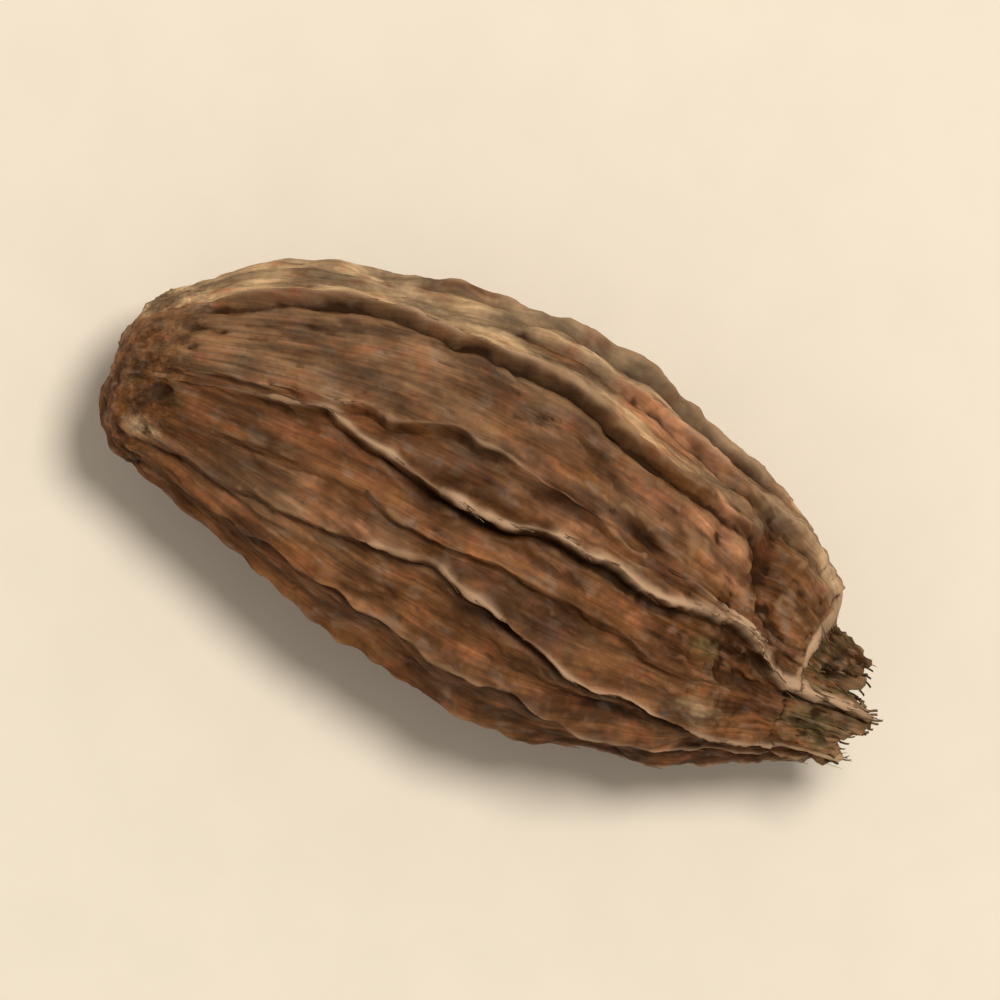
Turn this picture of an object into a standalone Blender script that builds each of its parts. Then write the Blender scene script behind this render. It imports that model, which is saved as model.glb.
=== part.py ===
"""A dried black cardamom pod lying on its side, in metres, +Z up.

The fruit grew as one piece, so it is one solid: a husk with wandering ribs, blunt at the stalk end (-X) and
drawn in at the flower end (+X), where the torn collar of the withered flower stands out.
It rests on a small flat spot pressed into its belly, in the plane z = 0.

The skin is one grid. Its columns follow the ribs, so each crest is a line of edges. Its rows run round the
pod, from the scar of the stalk to the rim of the collar and down inside it.
"""

import math
import random
from dataclasses import dataclass

import bmesh
import bpy
import numpy as np
from mathutils import Vector, noise

MM = 0.001

# Driving dimensions
HUSK_LENGTH = 29.4 * MM
HALF_WIDTH = 7.2 * MM
HALF_THICKNESS = 6.1 * MM
FLAT_CUT = 0.09 * MM

# Shape of the husk along its length; u runs from 0 at the stalk end to 1 at the flower end
FULLEST_SKEW = 1.17
ROUNDNESS = 0.8
END_SHARE = 0.35
STALK_CAP = 0.05
BODY_END = 0.965
SIDE_AT_STALK = 2.8 * MM
SIDE_AT_FLOWER = 1.2 * MM
SIDE_BOW = 1.5 * MM
BOW_SKEW = 0.8
DROOP_AT_STALK = 0.5 * MM
DROOP_AT_FLOWER = 0.6 * MM
THREE_CHAMBERS = 0.02
CHAMBER_TURN = math.radians(50.0)

# Relief of the skin
CREST_WIDTH = 0.38 * MM
CREST_ROUND = 0.1 * MM
GROOVE_FROM_CREST = 0.42 * MM
GROOVE_WIDTH = 0.24 * MM
STALK_FADE = 0.12
STALK_RELIEF = 0.3
SWERVE = 0.14 * MM
SWERVE_WAVES = (3.1, 5.7, 9.3)
CRUMPLE = 0.4 * MM
CRUMPLE_SIZE = 3.2 * MM
CALM_AT_STALK = 0.4
BELLY_AT = 0.54
PRESSED_HALF_LENGTH = 3.0 * MM
PRESSED_HALF_WIDTH = 2.4 * MM
PRESSED_FADE = 1.6

# The scar that the stalk left
SCAR_RADIUS = 1.2 * MM
SCAR_DEPTH = 0.25 * MM

# The shoulder that rolls inwards to the foot of the collar; its steps are shares of the radius there
SHOULDER_TURN = math.radians(15.0)
SHOULDER_SPREAD = math.radians(60.0)
SHOULDER_MOST = 0.32
SHOULDER_LEAST = 0.06
SHOULDER_ROLL = 0.35 * MM
SHOULDER_TURNS = (0.5, 1.05, 1.57)

# The torn collar of the withered flower
COLLAR_WALL = 0.8 * MM
COLLAR_TAPER = 0.16
COLLAR_LOWEST = 0.8 * MM
COLLAR_FLOOR = 0.3 * MM
LOBE_EDGE = 2.5
LOBE_TIP = 0.6
TEAR_DEPTH = 0.4 * MM
TEAR_SIZE = 0.24
COLLAR_OUTSIDE = (0.3, 0.6, 0.9)
COLLAR_INSIDE = (0.85, 0.45, 0.0)

# Resolution of the grid
COLUMNS_PER_RIB = 7
CROWDING = 0.45
ROWS = 35
EVEN_ROWS = 0.4
SCAR_ROWS = (0.0015, 0.006)
SEED = 11
SWERVE_SEED = 111
TOUCHING = 1e-7

# Finish
HUSK_COLOUR = (0.17, 0.08, 0.035, 1.0)
HUSK_ROUGHNESS = 0.7
SHARP_FROM = math.radians(50.0)

# Where along the husk the ribs are given
STATIONS = (0.0, 0.25, 0.5, 0.75, 1.0)


@dataclass(frozen=True)
class Rib:
    """One rib: its angles, heights and grooves at the five stations, and the sag of the skin beyond it."""

    angles: tuple
    heights: tuple
    grooves: tuple
    sag: float


@dataclass(frozen=True)
class Dent:
    """One hollow of the skin, or a swelling where its depth is below 0; sizes in mm, turns in degrees."""

    at: float
    angle: float
    half_length: float
    half_width: float
    turn: float
    depth: float


@dataclass(frozen=True)
class Lobe:
    """One lobe of the collar's torn rim: its angle and half width in degrees, its length and lean in mm."""

    angle: float
    half_width: float
    length: float
    lean: float


# Angles are degrees from +Y over the top (+Z) to -Y; heights, grooves and sags are mm
SEEN_RIBS = (
    Rib((8, 8, 10, 11, 8), (0.3, 0.3, 0.35, 0.4, 0.2), (0.0, 0.1, 0.2, 0.3, 0.1), 0.2),
    Rib((27, 22, 26, 29, 22), (0.1, 0.15, 0.2, 0.35, 0.2), (0.0, 0.1, 0.15, 0.35, 0.2), 0.2),
    Rib((47, 37, 44, 48, 38), (0.2, 0.28, 0.35, 0.3, 0.15), (0.3, 0.5, 0.6, 0.5, 0.2), 0.2),
    Rib((91, 81, 76, 80, 76), (0.1, 0.2, 0.28, 0.15, 0.1), (0.1, 0.15, 0.25, 0.1, 0.1), 0.3),
    Rib((98, 86, 94, 87, 97), (0.15, 0.3, 0.6, 0.65, 0.5), (0.1, 0.3, 0.65, 0.55, 0.4), 0.3),
    Rib((117, 107, 108, 107, 117), (0.1, 0.12, 0.12, 0.2, 0.1), (0.1, 0.1, 0.15, 0.15, 0.0), 0.25),
    Rib((139, 128, 117, 129, 143), (0.25, 0.35, 0.45, 0.55, 0.4), (0.2, 0.25, 0.45, 0.65, 0.3), 0.3),
    Rib((156, 148, 146, 152, 162), (0.2, 0.3, 0.35, 0.4, 0.25), (0.1, 0.2, 0.3, 0.3, 0.2), 0.25),
    Rib((176, 171, 171, 174, 182), (0.3, 0.4, 0.45, 0.4, 0.25), (0.1, 0.2, 0.3, 0.3, 0.2), 0.3),
)
HIDDEN_RIB_ANGLES = (197, 218, 241, 264, 288, 311, 338)
HIDDEN_SPREAD = 4.0
HIDDEN_HEIGHTS = (0.4, 0.8)
HIDDEN_GROOVES = (0.15, 0.6)
HIDDEN_SAGS = (0.25, 0.5)
HIDDEN_ALONG = (0.5, 0.9, 1.0, 1.0, 0.6)

DENTS = (
    Dent(0.52, 84, 2.0, 0.6, 10, 0.4),
    Dent(0.80, 60, 1.5, 1.3, 0, -0.4),
    Dent(0.735, 76, 0.8, 0.5, 15, 0.5),
    Dent(0.885, 52, 1.7, 0.6, 72, 0.8),
    Dent(0.93, 72, 0.8, 0.5, 50, 0.6),
    Dent(0.91, 104, 2.0, 1.0, 37, 0.9),
    Dent(0.74, 142, 2.4, 0.6, 0, 0.6),
    Dent(0.91, 160, 1.8, 0.8, 0, 0.4),
    Dent(0.06, 104, 1.3, 0.9, 0, 0.3),
    Dent(0.89, 24, 3.6, 2.6, 0, -1.1),
    Dent(0.87, 125, 1.3, 0.8, 0, -0.3),
    Dent(0.19, 12, 3.0, 3.0, 0, -0.7),
    Dent(0.68, 8, 1.5, 2.5, 0, -0.5),
    Dent(0.68, 180, 1.2, 2.0, 0, -0.4),
    Dent(0.77, 174, 1.4, 1.3, 0, 0.4),
)

LOBES = (
    Lobe(44, 28, 2.0, 0.1),
    Lobe(100, 30, 3.3, -0.1),
    Lobe(134, 30, 2.6, 0.1),
    Lobe(176, 20, 1.1, 0.0),
    Lobe(222, 32, 2.1, 0.3),
    Lobe(292, 34, 2.4, 0.2),
    Lobe(345, 20, 1.0, 0.0),
)


def hidden_ribs():
    """The ribs of the sides that the ground hides, spread evenly with a seeded scatter."""
    draw = random.Random(SEED)
    ribs = []
    for middle in HIDDEN_RIB_ANGLES:
        angles = tuple(middle + draw.uniform(-HIDDEN_SPREAD, HIDDEN_SPREAD) for _ in STATIONS)
        height = draw.uniform(*HIDDEN_HEIGHTS)
        groove = draw.uniform(*HIDDEN_GROOVES)
        heights = tuple(height * share for share in HIDDEN_ALONG)
        grooves = tuple(groove * share for share in HIDDEN_ALONG)
        ribs.append(Rib(angles, heights, grooves, draw.uniform(*HIDDEN_SAGS)))
    return ribs


RIBS = (*SEEN_RIBS, *hidden_ribs())


def through_stations(values, u):
    """A smooth curve through one value at each station."""
    values = np.asarray(values, float)
    slopes = np.gradient(values, STATIONS)
    k = np.clip(np.searchsorted(STATIONS, u, side="right") - 1, 0, len(STATIONS) - 2)
    span = STATIONS[1] - STATIONS[0]
    t = (u - np.take(STATIONS, k)) / span
    low, high = values[k], values[k + 1]
    rise, fall = slopes[k] * span, slopes[k + 1] * span
    return (
        low * (1 + 2 * t) * (1 - t) ** 2
        + rise * t * (1 - t) ** 2
        + high * t**2 * (3 - 2 * t)
        + fall * t**2 * (t - 1)
    )


def fullness(u):
    """How full the husk is at u: 0 at the stalk end and 1 where it is widest."""
    body = END_SHARE + (1 - END_SHARE) * np.sin(math.pi * u**FULLEST_SKEW).clip(0) ** ROUNDNESS
    return body * np.sqrt(1 - (1 - u / STALK_CAP).clip(0) ** 2)


def axis_side(u):
    """How far the pod's bowed middle line lies to the side."""
    return SIDE_AT_STALK + (SIDE_AT_FLOWER - SIDE_AT_STALK) * u + SIDE_BOW * np.sin(math.pi * u**BOW_SKEW)


def axis_rise(u):
    """How high the pod's middle line lies above the ground."""
    return HALF_THICKNESS - FLAT_CUT - DROOP_AT_STALK * (1 - u) ** 3 - DROOP_AT_FLOWER * u**3


def core_point(u, theta):
    """A point of the smooth pod under the ribs."""
    full = fullness(u) * (1 + THREE_CHAMBERS * np.cos(3 * (theta - CHAMBER_TURN)))
    return np.stack(
        [
            HUSK_LENGTH * u,
            axis_side(u) + HALF_WIDTH * full * np.cos(theta),
            axis_rise(u) + HALF_THICKNESS * full * np.sin(theta),
        ],
        axis=-1,
    )


def noise_at(points, size):
    """Smooth noise at each of the points, with features of about this size."""
    flat = points.reshape(-1, 3) / size
    return np.array([noise.noise(Vector(p)) for p in flat]).reshape(points.shape[:-1])


def swerve_of(rib, u):
    """How far a crest wanders sideways from its smooth line, more so towards the flower end."""
    draw = random.Random(SWERVE_SEED + rib)
    total = 0.0
    for waves in SWERVE_WAVES:
        total = total + np.sin(2 * math.pi * (waves * u + draw.random())) * SWERVE_WAVES[0] / waves
    return SWERVE * (CALM_AT_STALK + u) * total


def crest(apart):
    """The rounded section of a crest: 1 on its line, falling to 0 on both sides."""
    return np.exp((CREST_ROUND - np.hypot(apart, CREST_ROUND)) / CREST_WIDTH)


def dents(around, theta, full):
    """How deep the hollows of the skin are; swellings count below 0."""
    total = 0.0
    for dent in DENTS:
        along = (around - dent.at) * HUSK_LENGTH / MM
        apart = (theta - math.radians(dent.angle) + math.pi) % (2 * math.pi) - math.pi
        across = apart * HALF_WIDTH * full[:, None] / MM
        turn = math.radians(dent.turn)
        length = (along * math.cos(turn) + across * math.sin(turn)) / dent.half_length
        width = (across * math.cos(turn) - along * math.sin(turn)) / dent.half_width
        total = total + dent.depth * MM * np.exp(-(length**2 + width**2))
    return total


def pressed_flat(points):
    """1 on the spot of the belly where the ribs are pressed flat, fading to 0 round it."""
    reach = np.hypot(
        (points[..., 0] - HUSK_LENGTH * BELLY_AT) / PRESSED_HALF_LENGTH,
        (points[..., 1] - axis_side(BELLY_AT)) / PRESSED_HALF_WIDTH,
    )
    return np.clip((1 + PRESSED_FADE - reach) / PRESSED_FADE, 0, 1) * (points[..., 2] < HALF_THICKNESS / 2)


def outward(points):
    """Unit normals of a grid that closes on itself along its rows."""
    round_the_pod = np.roll(points, -1, axis=1) - np.roll(points, 1, axis=1)
    along_the_pod = np.gradient(points, axis=0)
    normal = np.cross(round_the_pod, along_the_pod)
    return normal / np.linalg.norm(normal, axis=-1, keepdims=True)


def row_places(rows):
    """Where the rows of the husk lie: two round the scar, then closer together towards both ends."""
    step = np.linspace(0, 1, rows + 1)[1:]
    crowded = (1 - np.cos(math.pi * step)) / 2
    return np.array([*SCAR_ROWS, *(BODY_END * (EVEN_ROWS * step + (1 - EVEN_ROWS) * crowded))])


def ribbed_skin(columns_per_rib, rows):
    """The grid of the husk from the scar to the foot of the collar, and the angle of each of its points."""
    u = row_places(rows)
    full = fullness(u)
    crests = np.radians([through_stations(rib.angles, u) for rib in RIBS])
    crests += np.array([swerve_of(k, u) for k in range(len(RIBS))]) * np.sqrt(full) / HALF_WIDTH
    crests = np.vstack([crests, crests[:1] + 2 * math.pi])
    heights = np.array([through_stations(rib.heights, u) for rib in (*RIBS, RIBS[0])]) * MM
    theta = np.empty((len(u), len(RIBS) * columns_per_rib))
    relief = np.empty_like(theta)
    for k, rib in enumerate(RIBS):
        groove = through_stations(rib.grooves, u) * MM
        for step in range(columns_per_rib):
            s = step / columns_per_rib
            t = s - CROWDING * math.sin(2 * math.pi * s) / (2 * math.pi)
            angle = crests[k] + (crests[k + 1] - crests[k]) * t
            near = (angle - crests[k]) * HALF_WIDTH * full
            far = (crests[k + 1] - angle) * HALF_WIDTH * full
            column = k * columns_per_rib + step
            theta[:, column] = angle
            relief[:, column] = (
                heights[k] * crest(near)
                + heights[k + 1] * crest(far)
                - groove * np.exp(-(((near - GROOVE_FROM_CREST) / GROOVE_WIDTH) ** 2))
                - rib.sag * MM * math.sin(math.pi * t)
            )
    around = np.broadcast_to(u[:, None], theta.shape)
    points = core_point(around, theta)
    relief = relief * (full * np.clip(u / STALK_FADE, STALK_RELIEF, 1))[:, None]
    relief += CRUMPLE * (CALM_AT_STALK + around) * noise_at(points, CRUMPLE_SIZE) * full[:, None]
    relief -= dents(around, theta, full)
    relief *= 1 - pressed_flat(points)
    return points + relief[..., None] * outward(points), theta


def sink_scar(grid):
    """Sinks the skin into the scar in the middle of the stalk end."""
    reach = np.hypot(grid[..., 1] - axis_side(0), grid[..., 2] - axis_rise(0)) / SCAR_RADIUS
    dish = (1 - reach.clip(0, 1) ** 2) ** 2
    grid[..., 0] += SCAR_DEPTH * dish * (grid[..., 0] < HUSK_LENGTH / 2)


def rim_of(theta):
    """How far the torn rim stands out past the collar's foot, and how far it leans out, at each angle."""
    reach = np.full_like(theta, COLLAR_LOWEST)
    lean = np.zeros_like(theta)
    for lobe in LOBES:
        apart = (np.degrees(theta) - lobe.angle + 180) % 360 - 180
        share = (1 - np.abs(apart / lobe.half_width) ** LOBE_EDGE).clip(0)
        reach = np.maximum(reach, lobe.length * MM * share**LOBE_TIP)
        lean = lean + lobe.lean * MM * share
    ring = np.stack([np.cos(theta), np.sin(theta), 0 * theta], axis=-1)
    return reach + TEAR_DEPTH * noise_at(ring, TEAR_SIZE), lean


def shoulder_rows(edge, radial, theta):
    """The rows of the shoulder, which rolls inwards from the husk's last row, most of all at one side."""
    apart = (theta - SHOULDER_TURN + math.pi) % (2 * math.pi) - math.pi
    step = SHOULDER_LEAST + (SHOULDER_MOST - SHOULDER_LEAST) * np.exp(-((apart / SHOULDER_SPREAD) ** 2))
    rows = []
    for turn in SHOULDER_TURNS:
        onward = np.array([SHOULDER_ROLL * math.sin(turn), 0.0, 0.0])
        rows.append(edge + onward - radial * (step * (1 - math.cos(turn)))[:, None])
    return rows


def collar_rows(edge, theta):
    """The rows beyond the husk: over the shoulder, up outside the collar, over its rim and down inside it."""
    reach, lean = rim_of(theta)
    middle = np.array([0, axis_side(BODY_END), axis_rise(BODY_END)])
    radial = (edge - middle) * (0, 1, 1)
    unit = radial / np.linalg.norm(radial, axis=-1, keepdims=True)
    forward = np.array([1.0, 0.0, 0.0])
    rows = shoulder_rows(edge, radial, theta)
    foot = rows[-1]

    def level(share):
        """The outside of the collar at this share of its height."""
        onward = forward * (reach * share)[:, None]
        leaning = unit * (lean * share**2)[:, None]
        return foot + onward + leaning - radial * COLLAR_TAPER * share

    rows += [level(share) for share in COLLAR_OUTSIDE]
    rows.append(level(1.0) - unit * COLLAR_WALL / 2)
    for share in COLLAR_INSIDE:
        rows.append(level(share) - unit * COLLAR_WALL - forward * COLLAR_FLOOR * (1 - share))
    return rows


def mesh_object(name, bm):
    """An object of this mesh, with its faces pointing out."""
    bmesh.ops.recalc_face_normals(bm, faces=bm.faces)
    mesh = bpy.data.meshes.new(name)
    bm.to_mesh(mesh)
    bm.free()
    obj = bpy.data.objects.new(name, mesh)
    bpy.context.scene.collection.objects.link(obj)
    return obj


def pod_surface():
    """The closed skin: the rows, and a point in the scar and in the collar."""
    skin, theta = ribbed_skin(COLUMNS_PER_RIB, ROWS)
    sink_scar(skin)
    rows = [*skin, *collar_rows(skin[-1], theta[-1])]
    columns = len(theta[0])
    bm = bmesh.new()
    verts = [[bm.verts.new(point) for point in row] for row in rows]
    stalk = bm.verts.new((SCAR_DEPTH, axis_side(0), axis_rise(0)))
    flower = bm.verts.new(rows[-1].mean(axis=0))
    for c in range(columns):
        d = (c + 1) % columns
        bm.faces.new((stalk, verts[0][d], verts[0][c]))
        bm.faces.new((flower, verts[-1][c], verts[-1][d]))
        for low, high in zip(verts, verts[1:]):
            bm.faces.new((low[c], low[d], high[d], high[c]))
    return mesh_object("pod", bm)


def press_belly(pod):
    """Cuts the flat spot that the pod rests on, in the plane z = 0."""
    bm = bmesh.new()
    bm.from_mesh(pod.data)
    bmesh.ops.bisect_plane(
        bm,
        geom=[*bm.verts, *bm.edges, *bm.faces],
        dist=TOUCHING,
        plane_co=(0, 0, 0),
        plane_no=(0, 0, -1),
        clear_outer=True,
    )
    bmesh.ops.holes_fill(bm, edges=[edge for edge in bm.edges if edge.is_boundary])
    bmesh.ops.triangulate(bm, faces=bm.faces)
    bmesh.ops.recalc_face_normals(bm, faces=bm.faces)
    bm.to_mesh(pod.data)
    bm.free()


def centre(pod):
    """Puts the middle of the pod's box over the origin; its flat spot stays in the ground plane."""
    corners = np.array([vert.co for vert in pod.data.vertices])
    middle = (corners.min(axis=0) + corners.max(axis=0)) / 2
    for vert in pod.data.vertices:
        vert.co.x -= middle[0]
        vert.co.y -= middle[1]


def husk_material():
    """Dull red-brown dried skin."""
    material = bpy.data.materials.new("husk")
    material.use_nodes = True
    shader = material.node_tree.nodes["Principled BSDF"]
    shader.inputs["Base Color"].default_value = HUSK_COLOUR
    shader.inputs["Roughness"].default_value = HUSK_ROUGHNESS
    shader.inputs["Metallic"].default_value = 0.0
    return material


def main():
    """Builds the pod in an empty scene."""
    for obj in list(bpy.data.objects):
        bpy.data.objects.remove(obj)
    pod = pod_surface()
    press_belly(pod)
    centre(pod)
    pod.data.materials.append(husk_material())
    pod.data.shade_smooth()
    pod.data.set_sharp_from_angle(angle=SHARP_FROM)


main()
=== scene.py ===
"""A dried black cardamom pod on a pale floor, seen from straight above.

The pod grew as one piece. Its husk is a fine grid whose columns follow the wandering ribs. Geometry Nodes
raise the fine ridges of the skin from it, lay loose fibres along its crests and set torn shreds on the rim
of the withered flower. Lengths are in metres, +X runs from the stalk end to the flower end and +Z is up.
"""

import logging
import math
import random
from dataclasses import dataclass, field
from enum import Enum
from functools import partial, reduce

import bmesh
import bpy
import numpy as np
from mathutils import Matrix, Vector, noise


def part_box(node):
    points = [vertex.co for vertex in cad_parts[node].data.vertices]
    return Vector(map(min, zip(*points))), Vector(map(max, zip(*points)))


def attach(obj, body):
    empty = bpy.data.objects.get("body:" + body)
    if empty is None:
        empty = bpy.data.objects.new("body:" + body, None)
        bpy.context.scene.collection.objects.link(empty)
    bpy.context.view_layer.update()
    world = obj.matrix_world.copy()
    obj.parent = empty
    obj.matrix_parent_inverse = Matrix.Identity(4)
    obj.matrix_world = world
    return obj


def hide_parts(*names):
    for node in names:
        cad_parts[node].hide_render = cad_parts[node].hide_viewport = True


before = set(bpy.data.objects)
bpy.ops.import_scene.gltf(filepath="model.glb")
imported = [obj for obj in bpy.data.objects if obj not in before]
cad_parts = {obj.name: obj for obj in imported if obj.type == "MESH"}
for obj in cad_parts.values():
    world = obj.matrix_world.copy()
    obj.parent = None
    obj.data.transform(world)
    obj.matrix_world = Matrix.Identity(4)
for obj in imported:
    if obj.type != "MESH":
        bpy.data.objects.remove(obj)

log = logging.getLogger("pod")

MM = 0.001
BODY = "root"
SOLID = "pod"

Array = np.ndarray
Numbers = tuple[float, ...]
Piece = bpy.types.Object
Socket = bpy.types.NodeSocket
Colour = tuple[float, float, float, float]


class Zone(Enum):
    """The colour zones of the skin; each is an attribute of the husk's mesh that its finish reads."""

    TAN = "zone_tan"
    GREY = "zone_grey"
    ORANGE = "zone_orange"
    RED = "zone_red"
    OLIVE = "zone_olive"
    DARK = "zone_dark"


class Trait(Enum):
    """The other attributes that the husk's mesh carries for its relief and its finish."""

    GRAIN_PLACE = "grain_place"
    GRAIN = "grain"
    OUTWARD = "outward"
    FREE = "free"
    PUCKER = "pucker"
    CREST = "crest"
    # Where the finish paints shade in the furrow beside each crest
    FURROW = "furrow"
    HOLLOW = "hollow"
    CREVICE = "crevice"
    TONE = "tone"


TAN, GREY, ORANGE, RED, OLIVE, DARK = Zone


@dataclass(frozen=True)
class Rib:
    """One rib: angles, heights, grooves and paleness at five stations, and the skin up to the next rib."""

    angles: Numbers
    heights: Numbers
    grooves: Numbers
    sag: float
    pale: Numbers
    zone: Zone
    share: Numbers
    kink_at: float = 0.0
    kink: float = 0.0
    kink_length: float = 1.0

    def line(self, u: Array) -> Array:
        """The angle of its crest in degrees along the pod, with its one kink."""
        return through_stations(self.angles, u) + self.kink * bell((u - self.kink_at) / self.kink_length)


@dataclass(frozen=True)
class Dent:
    """One hollow of the skin, or a swelling where its depth is below 0; sizes in mm, turns in degrees."""

    at: float
    angle: float
    half_length: float
    half_width: float
    depth: float
    turn: float = 0.0


@dataclass(frozen=True)
class StainOrShade:
    """One patch of a colour zone, most of them stains of the skin and some painted shade; sizes in mm, turns
    in degrees.
    """

    zone: Zone
    at: float
    angle: float
    half_length: float
    half_width: float
    strength: float
    turn: float = 0.0


@dataclass(frozen=True)
class Lobe:
    """One lobe of the collar's torn rim: its angle and half width in degrees, its length and lean in mm."""

    angle: float
    half_width: float
    length: float
    lean: float


# Angles are degrees from +Y over the top (+Z) to -Y; heights, grooves and sags are mm
STATIONS = (0.0, 0.25, 0.5, 0.75, 1.0)
SEEN_RIBS = (
    Rib((8, 8, 10, 11, 8), (0.3, 0.3, 0.35, 0.4, 0.2), (0.0, 0.1, 0.25, 0.6, 0.2), 0.2,
        (0.3, 0.4, 0.4, 0.5, 0.6), TAN, (0.7, 0.8, 0.8, 0.7, 0.6)),
    Rib((27, 22, 26, 29, 22), (0.1, 0.15, 0.2, 0.35, 0.2), (0.0, 0.1, 0.15, 0.35, 0.2), 0.2,
        (0.2, 0.3, 0.4, 0.5, 0.4), TAN, (0.5, 0.7, 0.6, 0.5, 0.3)),
    Rib((47, 37, 44, 48, 38), (0.2, 0.28, 0.35, 0.3, 0.15), (0.3, 0.5, 0.6, 0.5, 0.2), 0.2,
        (0.3, 0.5, 0.5, 0.4, 0.2), GREY, (0.5, 0.7, 0.6, 0.3, 0.1)),
    Rib((91, 81, 76, 80, 76), (0.1, 0.2, 0.28, 0.15, 0.1), (0.1, 0.15, 0.25, 0.1, 0.1), 0.3,
        (0.2, 0.4, 0.4, 0.3, 0.3), RED, (0.2, 0.25, 0.25, 0.25, 0.2)),
    Rib((98, 86, 94, 87, 97), (0.15, 0.3, 0.6, 0.65, 0.5), (0.1, 0.3, 0.65, 0.55, 0.4), 0.3,
        (0.3, 0.5, 0.8, 1.0, 1.6), RED, (0.5, 0.25, 0.1, 0.1, 0.0), 0.885, -12.0, 0.055),
    Rib((117, 107, 108, 107, 117), (0.1, 0.12, 0.12, 0.2, 0.1), (0.1, 0.1, 0.15, 0.15, 0.0), 0.25,
        (0.2, 0.3, 0.2, 0.3, 0.3), ORANGE, (0.1, 0.25, 0.1, 0.0, 0.0)),
    Rib((139, 128, 117, 129, 143), (0.25, 0.35, 0.45, 0.55, 0.4), (0.2, 0.25, 0.45, 0.65, 0.3), 0.3,
        (0.3, 0.3, 0.5, 0.7, 0.8), RED, (0.2, 0.3, 0.2, 0.1, 0.1)),
    Rib((156, 148, 146, 152, 162), (0.2, 0.3, 0.35, 0.4, 0.25), (0.1, 0.2, 0.3, 0.3, 0.2), 0.25,
        (0.3, 0.3, 0.3, 0.5, 0.6), DARK, (0.2, 0.3, 0.4, 0.5, 0.5)),
    Rib((176, 171, 171, 174, 182), (0.3, 0.4, 0.45, 0.4, 0.25), (0.1, 0.2, 0.3, 0.3, 0.2), 0.3,
        (0.3, 0.3, 0.4, 0.5, 0.5), DARK, (0.2, 0.3, 0.3, 0.3, 0.3)),
)

# Each row: place along the pod, angle, half length, half width, depth and its turn where it has one
DENTS = tuple(Dent(*row) for row in (
    (0.52, 84, 2.0, 0.6, 0.4, 10), (0.80, 60, 1.5, 1.3, -0.4), (0.785, 68, 0.6, 0.5, -0.35),
    (0.84, 57, 0.6, 0.6, -0.4), (0.775, 50, 0.6, 0.5, -0.3), (0.835, 71, 0.5, 0.5, -0.3),
    (0.81, 58, 0.5, 0.35, 0.3, 40), (0.735, 76, 1.0, 0.45, 0.4, 15), (0.885, 52, 1.7, 0.6, 0.8, 72),
    (0.93, 72, 0.8, 0.5, 0.6, 50), (0.856, 80, 0.5, 0.4, 0.4), (0.91, 104, 2.0, 1.0, 0.9, 37),
    (0.74, 142, 2.4, 0.6, 0.6), (0.91, 160, 1.8, 0.8, 0.4), (0.06, 104, 1.3, 0.9, 0.3),
    (0.89, 24, 3.6, 2.6, -1.1), (0.87, 125, 1.3, 0.8, -0.3), (0.19, 12, 3.0, 3.0, -0.7),
    (0.68, 8, 1.5, 2.5, -0.5), (0.68, 180, 1.2, 2.0, -0.4), (0.77, 174, 1.4, 1.3, 0.4),
))

LOBES = (
    Lobe(43, 25, 1.9, 0.1),
    Lobe(103, 28, 3.3, -0.1),
    Lobe(134, 30, 2.6, 0.1),
    Lobe(176, 20, 1.1, 0.0),
    Lobe(222, 32, 2.1, 0.3),
    Lobe(292, 34, 2.4, 0.2),
    Lobe(345, 20, 1.0, 0.0),
)
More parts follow.
